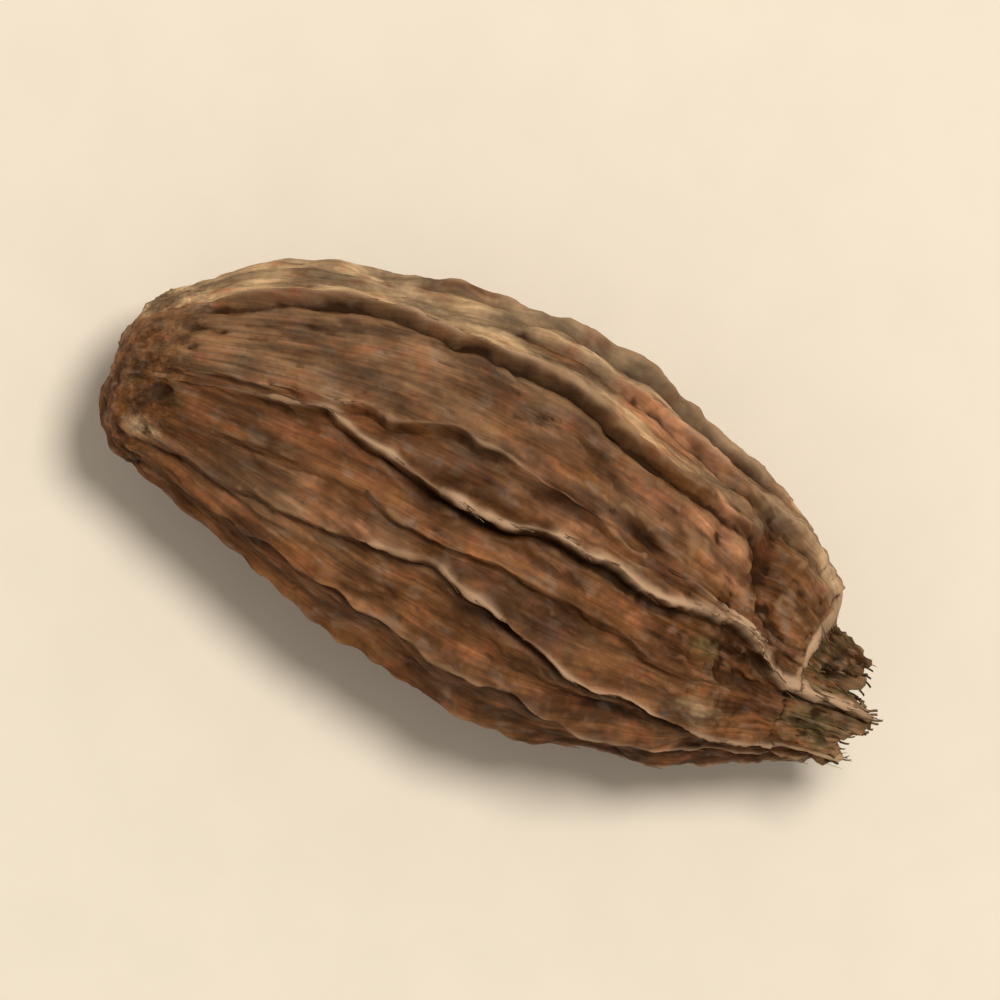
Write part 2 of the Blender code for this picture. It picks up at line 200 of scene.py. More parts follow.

# Each row: place along the pod, angle, half length, half width, strength and its turn where it has one.
# Their order matters, because a patch fades the other zones under it
STAINS_AND_SHADE = tuple(StainOrShade(zone, *row) for zone, *rows in (
    (DARK, (0.80, 17, 2.8, 0.45, 0.9)),
    (GREY, (0.40, 12, 2.6, 1.2, 0.6), (0.56, 33, 1.6, 0.7, 0.5)),
    (ORANGE, (0.69, 33, 2.0, 0.9, 0.9), (0.78, 28, 1.6, 0.8, 0.6), (0.82, 57, 1.8, 1.3, 0.8)),
    (TAN, (0.93, 30, 1.0, 1.1, 0.6)),
    (ORANGE, (0.30, 109, 1.8, 0.8, 0.3), (0.67, 110, 2.2, 0.6, 0.3)),
    (TAN, (0.873, 125, 1.2, 0.7, 0.6), (0.955, 12, 0.8, 1.4, 0.7), (0.05, 78, 0.5, 0.4, 0.6),
     (0.07, 130, 0.8, 0.6, 0.6)),
    (RED, (0.226, 97, 1.4, 0.7, 0.6), (0.415, 97, 2.0, 0.8, 0.3), (0.46, 62, 2.4, 0.9, 0.3),
     (0.60, 66, 2.4, 0.9, 0.35)),
    (TAN, (0.70, 88, 3.0, 0.6, 0.5)),
    (OLIVE, (0.062, 100, 1.3, 1.1, 0.8), (0.865, 98, 0.9, 0.7, 0.6), (1.06, 102, 2.6, 3.0, 1.2),
     (1.03, 30, 1.8, 3.0, 1.2)),
    (DARK, (1.05, 46, 1.2, 1.2, 0.75), (1.055, 125, 0.5, 0.4, 0.7)),
    (OLIVE, (1.03, 235, 2.4, 5.0, 0.9)),
    # Painted shade: the dark patches that sit on the dents darken their pits, and the long one at 154 degrees
    # darkens the lower side, away from the light
    (DARK, (0.735, 75, 1.0, 0.35, 0.6, 10), (0.48, 110, 3.0, 0.9, 0.5), (0.69, 109, 4.0, 1.0, 0.65),
     (0.63, 100, 2.4, 0.4, 0.8), (0.45, 101, 2.4, 0.4, 0.35), (0.63, 137, 2.4, 0.8, 0.5),
     (0.856, 78, 0.4, 0.4, 0.7), (0.887, 47, 1.3, 0.4, 0.8, 75), (0.93, 71, 0.5, 0.4, 0.8),
     (0.966, 76, 0.4, 0.4, 0.8), (0.034, 65, 0.4, 0.4, 0.7), (0.517, 84, 1.7, 0.5, 0.8, 8),
     (0.742, 144, 2.4, 0.6, 0.9), (0.905, 161, 2.0, 0.8, 0.8), (0.50, 154, 6.0, 1.9, 0.5)),
    (GREY, (0.28, 127, 3.8, 1.6, 0.8), (0.40, 114, 2.5, 1.2, 0.6)),
    (ORANGE, (0.37, 119, 2.8, 0.9, 0.45)),
    (GREY, (0.53, 76, 3.2, 1.5, 0.7)),
    (ORANGE, (0.56, 74, 2.4, 1.0, 0.3), (0.64, 82, 2.4, 1.0, 0.4)),
    (DARK, (0.924, 99, 1.5, 0.9, 0.7, 30), (0.84, 102, 3.0, 1.1, 0.7)),
    (OLIVE, (0.865, 98, 0.9, 0.6, 0.9)),
    (DARK, (0.90, 60, 1.4, 0.9, 0.6, 60)),
    (TAN, (0.95, 14, 1.6, 1.6, 1.1)),
    (DARK, (0.05, 96, 1.2, 2.2, 0.5)),
) for row in rows)


class Wiring:
    """Adds nodes to a node tree and joins them."""

    finer_share = 0.55
    noise_middle = 0.5

    def __init__(self, tree: bpy.types.NodeTree) -> None:
        """Starts with this tree."""
        self.tree = tree

    def feed(self, socket: Socket, value: object) -> None:
        """Links a socket to another, or sets its value.

        Args:
            socket: The socket that is fed.
            value: Another socket, or a value.
        """
        if isinstance(value, bpy.types.NodeSocket):
            self.tree.links.new(value, socket)
        else:
            socket.default_value = value

    def node(self, kind: str, inputs: dict | None = None, **settings: object) -> bpy.types.Node:
        """Adds one node.

        Args:
            kind: Blender's name of the node's type.
            inputs: Sockets or values by the name or number of the input.
            **settings: The node's own settings.

        Returns:
            The node.
        """
        made = self.tree.nodes.new(kind)
        for name, value in settings.items():
            setattr(made, name, value)
        for name, value in (inputs or {}).items():
            self.feed(made.inputs[name], value)
        return made

    def math(self, operation: str, *values: object, clamp: bool = False) -> Socket:
        """One sum on numbers."""
        settings = {"operation": operation, "use_clamp": clamp}
        return self.node("ShaderNodeMath", dict(enumerate(values)), **settings).outputs[0]

    def times(self, *values: object) -> Socket:
        """The product of two or more numbers."""
        return reduce(partial(self.math, "MULTIPLY"), values)

    def plus(self, *values: object) -> Socket:
        """The total of two or more numbers."""
        return reduce(partial(self.math, "ADD"), values)

    def centred(self, value: Socket) -> Socket:
        """How far a noise lies above or below its middle."""
        return self.math("SUBTRACT", value, self.noise_middle)

    def vector(self, operation: str, *values: object) -> Socket:
        """One sum on vectors."""
        return self.node("ShaderNodeVectorMath", dict(enumerate(values)), operation=operation).outputs[0]

    def scaled(self, place: object, size: object) -> Socket:
        """A vector times a number."""
        return self.node("ShaderNodeVectorMath", {0: place, "Scale": size}, operation="SCALE").outputs[0]

    def ramp(self, value: object, low: float, high: float, start: float = 0.0, end: float = 1.0) -> Socket:
        """A smooth step from start to end as the value goes from low to high."""
        inputs = {0: value, 1: low, 2: high, 3: start, 4: end}
        return self.node("ShaderNodeMapRange", inputs, interpolation_type="SMOOTHSTEP").outputs[0]

    def mottle(self, place: Socket, size: object, detail: float, seed: object) -> bpy.types.Node:
        """Noise from 0 to 1, with the number first and the colour second.

        Args:
            place: The place that the noise is read at.
            size: The size of its features, in the units of the place.
            detail: How many finer layers it has.
            seed: Which of all such noises it is.

        Returns:
            The noise node.
        """
        scale = self.math("DIVIDE", 1.0, size) if isinstance(size, bpy.types.NodeSocket) else 1 / size
        inputs = {"Vector": place, "W": seed, "Scale": scale, "Detail": detail, "Roughness": self.finer_share}
        return self.node("ShaderNodeTexNoise", inputs, noise_dimensions="4D")

    def blend(self, share: object, first: object, second: object) -> Socket:
        """A mix of two colours."""
        return self.node("ShaderNodeMix", {0: share, 6: first, 7: second}, data_type="RGBA").outputs[2]


class Paint(Wiring):
    """A material in the making: a node tree that starts empty."""

    def __init__(self, name: str) -> None:
        """Starts a material of this name.

        Args:
            name: The material's name.
        """
        self.made = bpy.data.materials.new(name)
        self.made.use_nodes = True
        self.made.node_tree.nodes.clear()
        super().__init__(self.made.node_tree)

    def trait(self, trait: Zone | Trait, output: str = "Fac") -> Socket:
        """An attribute of the mesh."""
        return self.node("ShaderNodeAttribute", attribute_name=trait.value).outputs[output]

    def place(self) -> Socket:
        """The place on the piece in mm."""
        return self.scaled(self.node("ShaderNodeTexCoord").outputs["Object"], 1 / MM)

    def bump(self, height: Socket, depth: float, strength: float) -> Socket:
        """The shading of a height that isn't modelled."""
        inputs = {"Height": height, "Distance": depth, "Strength": strength}
        return self.node("ShaderNodeBump", inputs).outputs[0]

    def finished(
        self, colour: Socket, roughness: object, gloss: float, bump: Socket | None = None
    ) -> bpy.types.Material:
        """Closes the material with its one shader.

        Args:
            colour: The colour of the surface.
            roughness: Its roughness.
            gloss: Its specular level.
            bump: Its bump, if it has one.

        Returns:
            The material.
        """
        inputs = {"Base Color": colour, "Roughness": roughness, "Specular IOR Level": gloss}
        if bump:
            inputs["Normal"] = bump
        shader = self.node("ShaderNodeBsdfPrincipled", inputs)
        self.node("ShaderNodeOutputMaterial", {"Surface": shader.outputs[0]})
        return self.made


class GrowthTree(Wiring):
    """A Geometry Nodes tree with named inputs, a seed and the finish of what it makes."""

    kinds = {float: "NodeSocketFloat", int: "NodeSocketInt", bpy.types.Material: "NodeSocketMaterial"}

    def __init__(self, name: str, values: dict[str, object]) -> None:
        """Starts a tree.

        Args:
            name: The tree's name.
            values: The values of its inputs by name, with "Seed" and "Finish" among them.
        """
        super().__init__(bpy.data.node_groups.new(name, "GeometryNodeTree"))
        self.values = values
        face = self.tree.interface
        face.new_socket("Geometry", in_out="INPUT", socket_type="NodeSocketGeometry")
        for size, value in values.items():
            face.new_socket(size, in_out="INPUT", socket_type=self.kinds[type(value)])
        face.new_socket("Geometry", in_out="OUTPUT", socket_type="NodeSocketGeometry")
        self.given = self.node("NodeGroupInput").outputs

    def trait(self, trait: Trait, data_type: str = "FLOAT") -> Socket:
        """An attribute of the mesh."""
        inputs = {"Name": trait.value}
        return self.node("GeometryNodeInputNamedAttribute", inputs, data_type=data_type).outputs[0]

    def direction(self, trait: Trait) -> Socket:
        """An attribute of the mesh as a vector."""
        return self.trait(trait, "FLOAT_VECTOR")

    def chance(self, low: float, high: float, salt: int) -> Socket:
        """A number drawn anew for each point."""
        seed = self.plus(self.given["Seed"], salt)
        return self.node("FunctionNodeRandomValue", {2: low, 3: high, 8: seed}, data_type="FLOAT").outputs[1]

    def end(self, geometry: Socket) -> None:
        """Realizes the instances, sets the finish and closes the tree.

        Args:
            geometry: What the tree has made.
        """
        real = self.node("GeometryNodeRealizeInstances", {0: geometry}).outputs[0]
        dressed = self.node("GeometryNodeSetMaterial", {"Geometry": real, "Material": self.given["Finish"]})
        self.node("NodeGroupOutput", {0: dressed.outputs[0]})

    def grow(self, piece: Piece) -> None:
        """Runs the tree on a piece and leaves it a plain mesh, with no modifier.

        Args:
            piece: The object that the tree starts from.
        """
        modifier = piece.modifiers.new("growth", "NODES")
        modifier.node_group = self.tree
        for item in self.tree.interface.items_tree:
            if item.in_out == "INPUT" and item.name in self.values:
                modifier[item.identifier] = self.values[item.name]
        depsgraph = bpy.context.evaluated_depsgraph_get()
        grown = bpy.data.meshes.new_from_object(
            piece.evaluated_get(depsgraph), preserve_all_data_layers=True, depsgraph=depsgraph
        )
        piece.modifiers.clear()
        piece.data = grown
        grown.name = piece.name


def new_piece(name: str, mesh: bpy.types.Mesh) -> Piece:
    """An object of this mesh, at the origin.

    Args:
        name: The object's name.
        mesh: Its mesh.

    Returns:
        The object.
    """
    piece = bpy.data.objects.new(name, mesh)
    bpy.context.scene.collection.objects.link(piece)
    return piece


def corners_of(mesh: bpy.types.Mesh) -> Array:
    """The places of a mesh's points.

    Args:
        mesh: The mesh.

    Returns:
        One row for each point.
    """
    places = np.empty(len(mesh.vertices) * 3)
    mesh.vertices.foreach_get("co", places)
    return places.reshape(-1, 3)


def move_corners(mesh: bpy.types.Mesh, places: Array) -> None:
    """Puts a mesh's points at these places."""
    mesh.vertices.foreach_set("co", places.ravel())
    mesh.update()


def solid_box() -> tuple[Array, Array]:
    """The lowest and the highest corner of the solid's box."""
    low, high = (np.array(corner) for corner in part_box(SOLID))
    return low, high


def store(mesh: bpy.types.Mesh, trait: Zone | Trait, values: Array) -> None:
    """Gives each point of a mesh a number or a vector.

    Args:
        mesh: The mesh.
        trait: What the numbers are kept as.
        values: One number or row for each point.
    """
    several = values.ndim == 2
    layer = mesh.attributes.new(trait.value, "FLOAT_VECTOR" if several else "FLOAT", "POINT")
    layer.data.foreach_set("vector" if several else "value", values.astype(np.float32).ravel())


def noise_at(points: Array, size: float) -> Array:
    """Smooth noise at each of the points, with features of about this size."""
    flat = points.reshape(-1, 3) / size
    return np.array([noise.noise(Vector(p)) for p in flat]).reshape(points.shape[:-1])


def bell(distance: Array) -> Array:
    """1 at distance 0, falling smoothly to 0 on both sides."""
    return np.exp(-(distance**2))


def wrapped(angle: Array, whole: float = 2 * math.pi) -> Array:
    """An angle brought to within half a turn of 0."""
    return (angle + whole / 2) % whole - whole / 2


def ring_at(theta: Array) -> Array:
    """The points of a circle of radius 1 at these angles."""
    return np.stack([np.cos(theta), np.sin(theta), 0 * theta], axis=-1)


def through_stations(values: Numbers, u: Array) -> Array:
    """A smooth curve through one value at each station.

    Args:
        values: The values at the stations.
        u: Where along the pod the curve is read.

    Returns:
        The curve's value at each u.
    """
    values = np.asarray(values, float)
    slopes = np.gradient(values, STATIONS)
    k = np.clip(np.searchsorted(STATIONS, u, side="right") - 1, 0, len(STATIONS) - 2)
    span = STATIONS[1] - STATIONS[0]
    t = (u - np.take(STATIONS, k)) / span
    low, high = values[k], values[k + 1]
    rise, fall = slopes[k] * span, slopes[k + 1] * span
    from_low = low * (1 + 2 * t) * (1 - t) ** 2 + rise * t * (1 - t) ** 2
    return from_low + high * t**2 * (3 - 2 * t) + fall * t**2 * (t - 1)


def unit(vectors: Array) -> Array:
    """These vectors at length 1."""
    return vectors / np.linalg.norm(vectors, axis=-1, keepdims=True).clip(1e-12)


def sideways(points: Array) -> Array:
    """The steps along the rows of a grid that closes on itself."""
    return np.roll(points, -1, axis=1) - np.roll(points, 1, axis=1)


def outward(points: Array) -> Array:
    """Unit normals of a grid that closes on itself along its rows."""
    return unit(np.cross(sideways(points), np.gradient(points, axis=0)))


@dataclass(frozen=True)
class PodForm:
    """The smooth pod under its ribs, by the rule and the sizes of the solid."""

    length: float = 29.4 * MM
    half_width: float = 7.2 * MM
    half_thickness: float = 6.1 * MM
    flat_cut: float = 0.09 * MM
    fullest_skew: float = 1.17
    roundness: float = 0.8
    end_share: float = 0.35
    stalk_cap: float = 0.05
    body_end: float = 0.965
    side_at_stalk: float = 2.8 * MM
    side_at_flower: float = 1.2 * MM
    side_bow: float = 1.5 * MM
    bow_skew: float = 0.8
    droop_at_stalk: float = 0.5 * MM
    droop_at_flower: float = 0.6 * MM
    three_chambers: float = 0.02
    chamber_turn: float = math.radians(50.0)

    def fullness(self, u: Array) -> Array:
        """How full the husk is at u: 0 at the stalk end and 1 where it is widest.

        Args:
            u: Where along the pod.

        Returns:
            The fullness at each u.
        """
        swell = np.sin(math.pi * u**self.fullest_skew).clip(0) ** self.roundness
        body = self.end_share + (1 - self.end_share) * swell
        return body * np.sqrt(1 - (1 - u / self.stalk_cap).clip(0) ** 2)

    def axis_side(self, u: Array) -> Array:
        """How far the pod's bowed middle line lies to the side."""
        straight = self.side_at_stalk + (self.side_at_flower - self.side_at_stalk) * u
        return straight + self.side_bow * np.sin(math.pi * u**self.bow_skew)

    def axis_rise(self, u: Array) -> Array:
        """How high the pod's middle line lies above the ground."""
        droop = self.droop_at_stalk * (1 - u) ** 3 + self.droop_at_flower * u**3
        return self.half_thickness - self.flat_cut - droop

    def core_point(self, u: Array, theta: Array) -> Array:
        """A point of the smooth pod at u along it and theta round it.

        Args:
            u: Where along the pod.
            theta: The angle round it.

        Returns:
            The places of the points.
        """
        full = self.fullness(u) * (1 + self.three_chambers * np.cos(3 * (theta - self.chamber_turn)))
        side = self.axis_side(u) + self.half_width * full * np.cos(theta)
        rise = self.axis_rise(u) + self.half_thickness * full * np.sin(theta)
        return np.stack([self.length * u, side, rise], axis=-1)


@dataclass(frozen=True)
class HiddenRibs:
    """The ribs of the sides that the ground hides, spread evenly with a seeded scatter."""

    middles: Numbers = (197, 218, 241, 264, 288, 311, 338)
    spread: float = 4.0
    heights: Numbers = (0.4, 0.8)
    grooves: Numbers = (0.15, 0.6)
    sags: Numbers = (0.25, 0.5)
    along: Numbers = (0.5, 0.9, 1.0, 1.0, 0.6)
    pale: Numbers = (0.3, 0.6, 0.7, 0.7, 0.6)
    zones: tuple[Zone, ...] = (DARK, RED, GREY, ORANGE, DARK, GREY, TAN)
    share: Numbers = (0.4, 0.4, 0.4, 0.4, 0.4)
    seed: int = 11

    def ribs(self) -> tuple[Rib, ...]:
        """The ribs in order of their angles.

        Returns:
            The ribs, drawn with the seed.
        """
        draw = random.Random(self.seed)
        made = []
        for middle, zone in zip(self.middles, self.zones):
            angles = tuple(middle + draw.uniform(-self.spread, self.spread) for _ in STATIONS)
            height, groove, sag = (draw.uniform(*sizes) for sizes in (self.heights, self.grooves, self.sags))
            heights = tuple(height * share for share in self.along)
            grooves = tuple(groove * share for share in self.along)
            made.append(Rib(angles, heights, grooves, sag, self.pale, zone, self.share))
        return tuple(made)


@dataclass
class Skin:
    """The grid of the husk: its points, and what its relief and its finish need to know at each."""

    points: Array
    theta: Array
    along: Array
    traits: dict[Zone | Trait, Array]


@dataclass(frozen=True)
class Weave:
    """Noise drawn out along the pod: its spacing and length in mm, its finer layers and its seed."""

    spacing: float
    length: float
    detail: float
    seed: float


@dataclass(frozen=True)
class SkinFinish:
    """The dried skin: brown in zones and pale on the fibrous crests, with painted shade, almost black, in the
    furrows, creases and hollows.

    An edge says between which two values a mark starts to show, and then from what to what it grows.
    """

    brown: Colour = (0.175, 0.072, 0.024, 1.0)
    umber: Colour = (0.112, 0.041, 0.011, 1.0)
    grey: Colour = (0.185, 0.095, 0.042, 1.0)
    tan: Colour = (0.440, 0.285, 0.145, 1.0)
    orange: Colour = (0.510, 0.222, 0.098, 1.0)
    red: Colour = (0.190, 0.070, 0.027, 1.0)
    olive: Colour = (0.085, 0.056, 0.018, 1.0)
    # dark: the dark zone, also used for the painted shade of the scar, the collar's cup and the pits of the
    # dents
    dark: Colour = (0.052, 0.018, 0.004, 1.0)
    # painted shade: the near-black laid in the furrows, the creases and the hollows of the dents
    furrow: Colour = (0.024, 0.008, 0.001, 1.0)
    crest: Colour = (0.520, 0.320, 0.180, 1.0)
    worn: Colour = (0.310, 0.165, 0.072, 1.0)
    ruddy: Colour = (0.230, 0.075, 0.028, 1.0)
    # painted sheen as well as dust: a pale grey-brown that stands in for the skin's faint glint
    dusty: Colour = (0.195, 0.125, 0.078, 1.0)
    streaks: Weave = Weave(0.34, 5.5, 3.0, 1.0)
    threads: Weave = Weave(0.11, 2.4, 2.0, 2.0)
    patches: Weave = Weave(1.0, 2.6, 3.0, 5.0)
    ruddy_patches: Weave = Weave(0.7, 1.3, 2.0, 8.0)
    dusty_patches: Weave = Weave(0.6, 1.1, 2.0, 9.0)
    blotches: Weave = Weave(1.1, 2.6, 3.0, 10.0)
    clouds: Numbers = (2.4, 3.0, 3.0)
    flecks: Numbers = (0.22, 2.0, 4.0)
    cloud_edge: Numbers = (0.35, 0.65)
    zone_uneven: float = 1.3
    zone_edge: Numbers = (0.12, 0.75)
    zone_foot: Numbers = (0.02, 0.2)
    ruddy_edge: Numbers = (0.48, 0.72, 0.0, 0.6)
    dusty_edge: Numbers = (0.50, 0.74, 0.0, 0.6)
    streak_edge: Numbers = (0.30, 0.70, 0.72, 1.26)
    thread_edge: Numbers = (0.30, 0.70, 0.80, 1.20)
    fleck_edge: Numbers = (0.35, 0.75, 0.92, 1.12)
    blotch_edge: Numbers = (0.34, 0.66, 0.55, 1.52)
    worn_height: Numbers = (-0.15, -0.9)
    worn_streak: Numbers = (0.25, 0.6, 0.25, 0.7)
    crest_patchy: float = 0.5
    crest_edge: Numbers = (0.45, 1.05)
    crest_share: float = 0.85
    crevice_shade_edge: Numbers = (0.14, 0.8)
    hollow_shade_edge: Numbers = (0.3, 1.3, 0.0, 0.5)
    deep_shade_share: float = 0.9
    furrow_share: float = 0.95
    rough_streak: Numbers = (0.3, 0.7, 0.50, 0.66)
    rough_crevice: Numbers = (0.0, 1.0, 0.0, 0.2)
    gloss: float = 0.1
    thread_lift: float = 0.5
    fleck_lift: float = 0.35
    streak_lift: float = 0.6
    bump_height: float = 0.05 * MM
    bump_strength: float = 0.8

    def material(self) -> bpy.types.Material:
        """The finish as a material.

        Returns:
            The material.
        """
        paint = Paint("dried_skin")
        times, ramp, blend = paint.times, paint.ramp, paint.blend
        grain = paint.trait(Trait.GRAIN_PLACE, "Vector")
        place = paint.place()

        def woven(weave: Weave) -> Socket:
            """One layer of noise along the grain."""
            spread = (1 / weave.spacing, 1 / weave.spacing, 1 / weave.length)
            drawn_out = paint.vector("MULTIPLY", grain, spread)
            return paint.mottle(drawn_out, 1.0, weave.detail, weave.seed).outputs[0]

        streak, thread, patch = woven(self.streaks), woven(self.threads), woven(self.patches)
        cloud = paint.mottle(place, *self.clouds).outputs[0]
        fleck = paint.mottle(place, *self.flecks).outputs[0]
        crevice = paint.trait(Trait.CREVICE)
        colour = blend(ramp(cloud, *self.cloud_edge), self.umber, self.brown)
        for zone, shade, most in (
            (GREY, self.grey, 0.95), (RED, self.red, 0.9), (TAN, self.tan, 0.95),
            (ORANGE, self.orange, 0.95), (OLIVE, self.olive, 0.9), (DARK, self.dark, 0.92),
        ):
            mark = paint.trait(zone)
            uneven = paint.math("MULTIPLY_ADD", paint.centred(patch), self.zone_uneven, mark)
            share = times(ramp(uneven, *self.zone_edge), ramp(mark, *self.zone_foot), most)
            colour = blend(share, colour, shade)
        # The ruddy patches are the skin's own colour; the second kind is painted sheen as well as dust
        for patches, shade, edge in (
            (self.ruddy_patches, self.ruddy, self.ruddy_edge),
            (self.dusty_patches, self.dusty, self.dusty_edge),
        ):
            colour = blend(ramp(woven(patches), *edge), colour, shade)
        tones = (ramp(streak, *self.streak_edge), ramp(thread, *self.thread_edge))
        blots = times(ramp(fleck, *self.fleck_edge), ramp(woven(self.blotches), *self.blotch_edge))
        colour = paint.scaled(colour, times(*tones, blots))
        worn = times(ramp(crevice, *self.worn_height), ramp(streak, *self.worn_streak))
        colour = blend(worn, colour, self.worn)
        fibrous = paint.plus(paint.trait(Trait.CREST), times(patch, self.crest_patchy))
        colour = blend(times(ramp(fibrous, *self.crest_edge), self.crest_share), colour, self.crest)
        # Painted shade: the creases, the hollows of the dents and the furrow beside each crest darken almost
        # to black
        hollow = ramp(paint.trait(Trait.HOLLOW), *self.hollow_shade_edge)
        deep_shade = paint.math("ADD", ramp(crevice, *self.crevice_shade_edge), hollow, clamp=True)
        colour = blend(times(deep_shade, self.deep_shade_share), colour, self.furrow)
        colour = blend(times(paint.trait(Trait.FURROW), self.furrow_share), colour, self.furrow)
        rough = paint.plus(ramp(streak, *self.rough_streak), ramp(crevice, *self.rough_crevice))
        layers = ((thread, self.thread_lift), (fleck, self.fleck_lift), (streak, self.streak_lift))
        lift = paint.plus(*(times(layer, share) for layer, share in layers))
        bump = paint.bump(lift, self.bump_height, self.bump_strength)
        return paint.finished(colour, rough, self.gloss, bump)


@dataclass(frozen=True)
class FibreFinish:
    """Dry plant fibre: straw to brown, each fibre with its own tone."""

    name: str
    pale: Colour = (0.580, 0.370, 0.205, 1.0)
    dull: Colour = (0.300, 0.170, 0.085, 1.0)
    specks: Numbers = (0.16, 2.0, 6.0)
    speckle: float = 0.9
    roughness: float = 0.62
    gloss: float = 0.35
    bump_height: float = 0.02 * MM
    bump_strength: float = 0.6

    def material(self) -> bpy.types.Material:
        """The finish as a material.

        Returns:
            The material.
        """
        paint = Paint(self.name)
        speck = paint.mottle(paint.place(), *self.specks).outputs[0]
        tone = paint.trait(Trait.TONE)
        share = paint.math("MULTIPLY_ADD", paint.centred(speck), self.speckle, tone, clamp=True)
        colour = paint.blend(share, self.dull, self.pale)
        bump = paint.bump(speck, self.bump_height, self.bump_strength)
        return paint.finished(colour, self.roughness, self.gloss, bump)


@dataclass(frozen=True)
class SkinRelief:
    """The fine ridges, wrinkles, puckers and grit: heights in metres, spacings and lengths in mm of grain."""

    ridge_height: float = 0.12 * MM
    ridge_spacing: float = 0.85
    ridge_length: float = 6.0
    ridge_steepness: float = 5.0
    ridge_foot: float = 0.4
    wrinkle_height: float = 0.34 * MM
    wrinkle_spacing: float = 1.1
    wrinkle_length: float = 3.4
    pucker_height: float = 0.34 * MM
    pucker_spacing: float = 1.0
    pucker_width: float = 1.7
    grit_height: float = 0.07 * MM
    grit_spacing: float = 0.4
    wander: float = 2.0
    wander_size: float = 3.0
    seed: int = 5

    def tree(self, finish: bpy.types.Material) -> GrowthTree:
        """The tree that raises this relief from the skin, with an input for each size.

        Args:
            finish: The material of the skin.

        Returns:
            The tree.
        """
        inputs = {name.replace("_", " ").title(): value for name, value in vars(self).items()}
        tree = GrowthTree("skin_relief", inputs | {"Finish": finish})
        given = tree.given
        grain = tree.direction(Trait.GRAIN_PLACE)

        def seeded(place: Socket, size: object, detail: float, salt: float) -> bpy.types.Node:
            """Noise of its own for each salt."""
            return tree.mottle(place, size, detail, tree.plus(given["Seed"], salt))

        drift = seeded(grain, given["Wander Size"], 1.0, 0.1).outputs[1]
        drift = tree.vector("SUBTRACT", drift, (tree.noise_middle,) * 3)
        swayed = tree.vector("ADD", grain, tree.scaled(drift, given["Wander"]))

        def woven(spacing: Socket, length: Socket, salt: float) -> Socket:
            """Noise with this spacing round the pod and this length along it."""
            across, along = (tree.math("DIVIDE", 1.0, size) for size in (spacing, length))
            spread = tree.node("ShaderNodeCombineXYZ", {0: across, 1: across, 2: along}).outputs[0]
            return seeded(tree.vector("MULTIPLY", swayed, spread), 1.0, 2.0, salt).outputs[0]

        def about_zero(value: Socket, height: Socket) -> Socket:
            """Noise made a height above and below the skin."""
            return tree.times(tree.math("MULTIPLY_ADD", value, 2.0, -1.0), height)

        ridge = tree.math("ABSOLUTE", tree.centred(woven(given["Ridge Spacing"], given["Ridge Length"], 0.2)))
        sharp = tree.math("SUBTRACT", 1.0, tree.times(ridge, given["Ridge Steepness"]), clamp=True)
        wrinkle = woven(given["Wrinkle Spacing"], given["Wrinkle Length"], 0.3)
        wide = tree.times(given["Pucker Spacing"], given["Pucker Width"])
        pucker = woven(wide, given["Pucker Spacing"], 0.4)
        grit = seeded(swayed, given["Grit Spacing"], 2.0, 0.5).outputs[0]
        total = tree.plus(
            tree.times(tree.math("SUBTRACT", sharp, given["Ridge Foot"]), given["Ridge Height"]),
            about_zero(wrinkle, given["Wrinkle Height"]),
            tree.times(about_zero(pucker, given["Pucker Height"]), tree.trait(Trait.PUCKER)),
            about_zero(grit, given["Grit Height"]),
        )
        offset = tree.scaled(tree.direction(Trait.OUTWARD), tree.times(total, tree.trait(Trait.FREE)))
        raised = tree.node("GeometryNodeSetPosition", {"Geometry": given["Geometry"], "Offset": offset})
        tree.end(raised.outputs[0])
        return tree


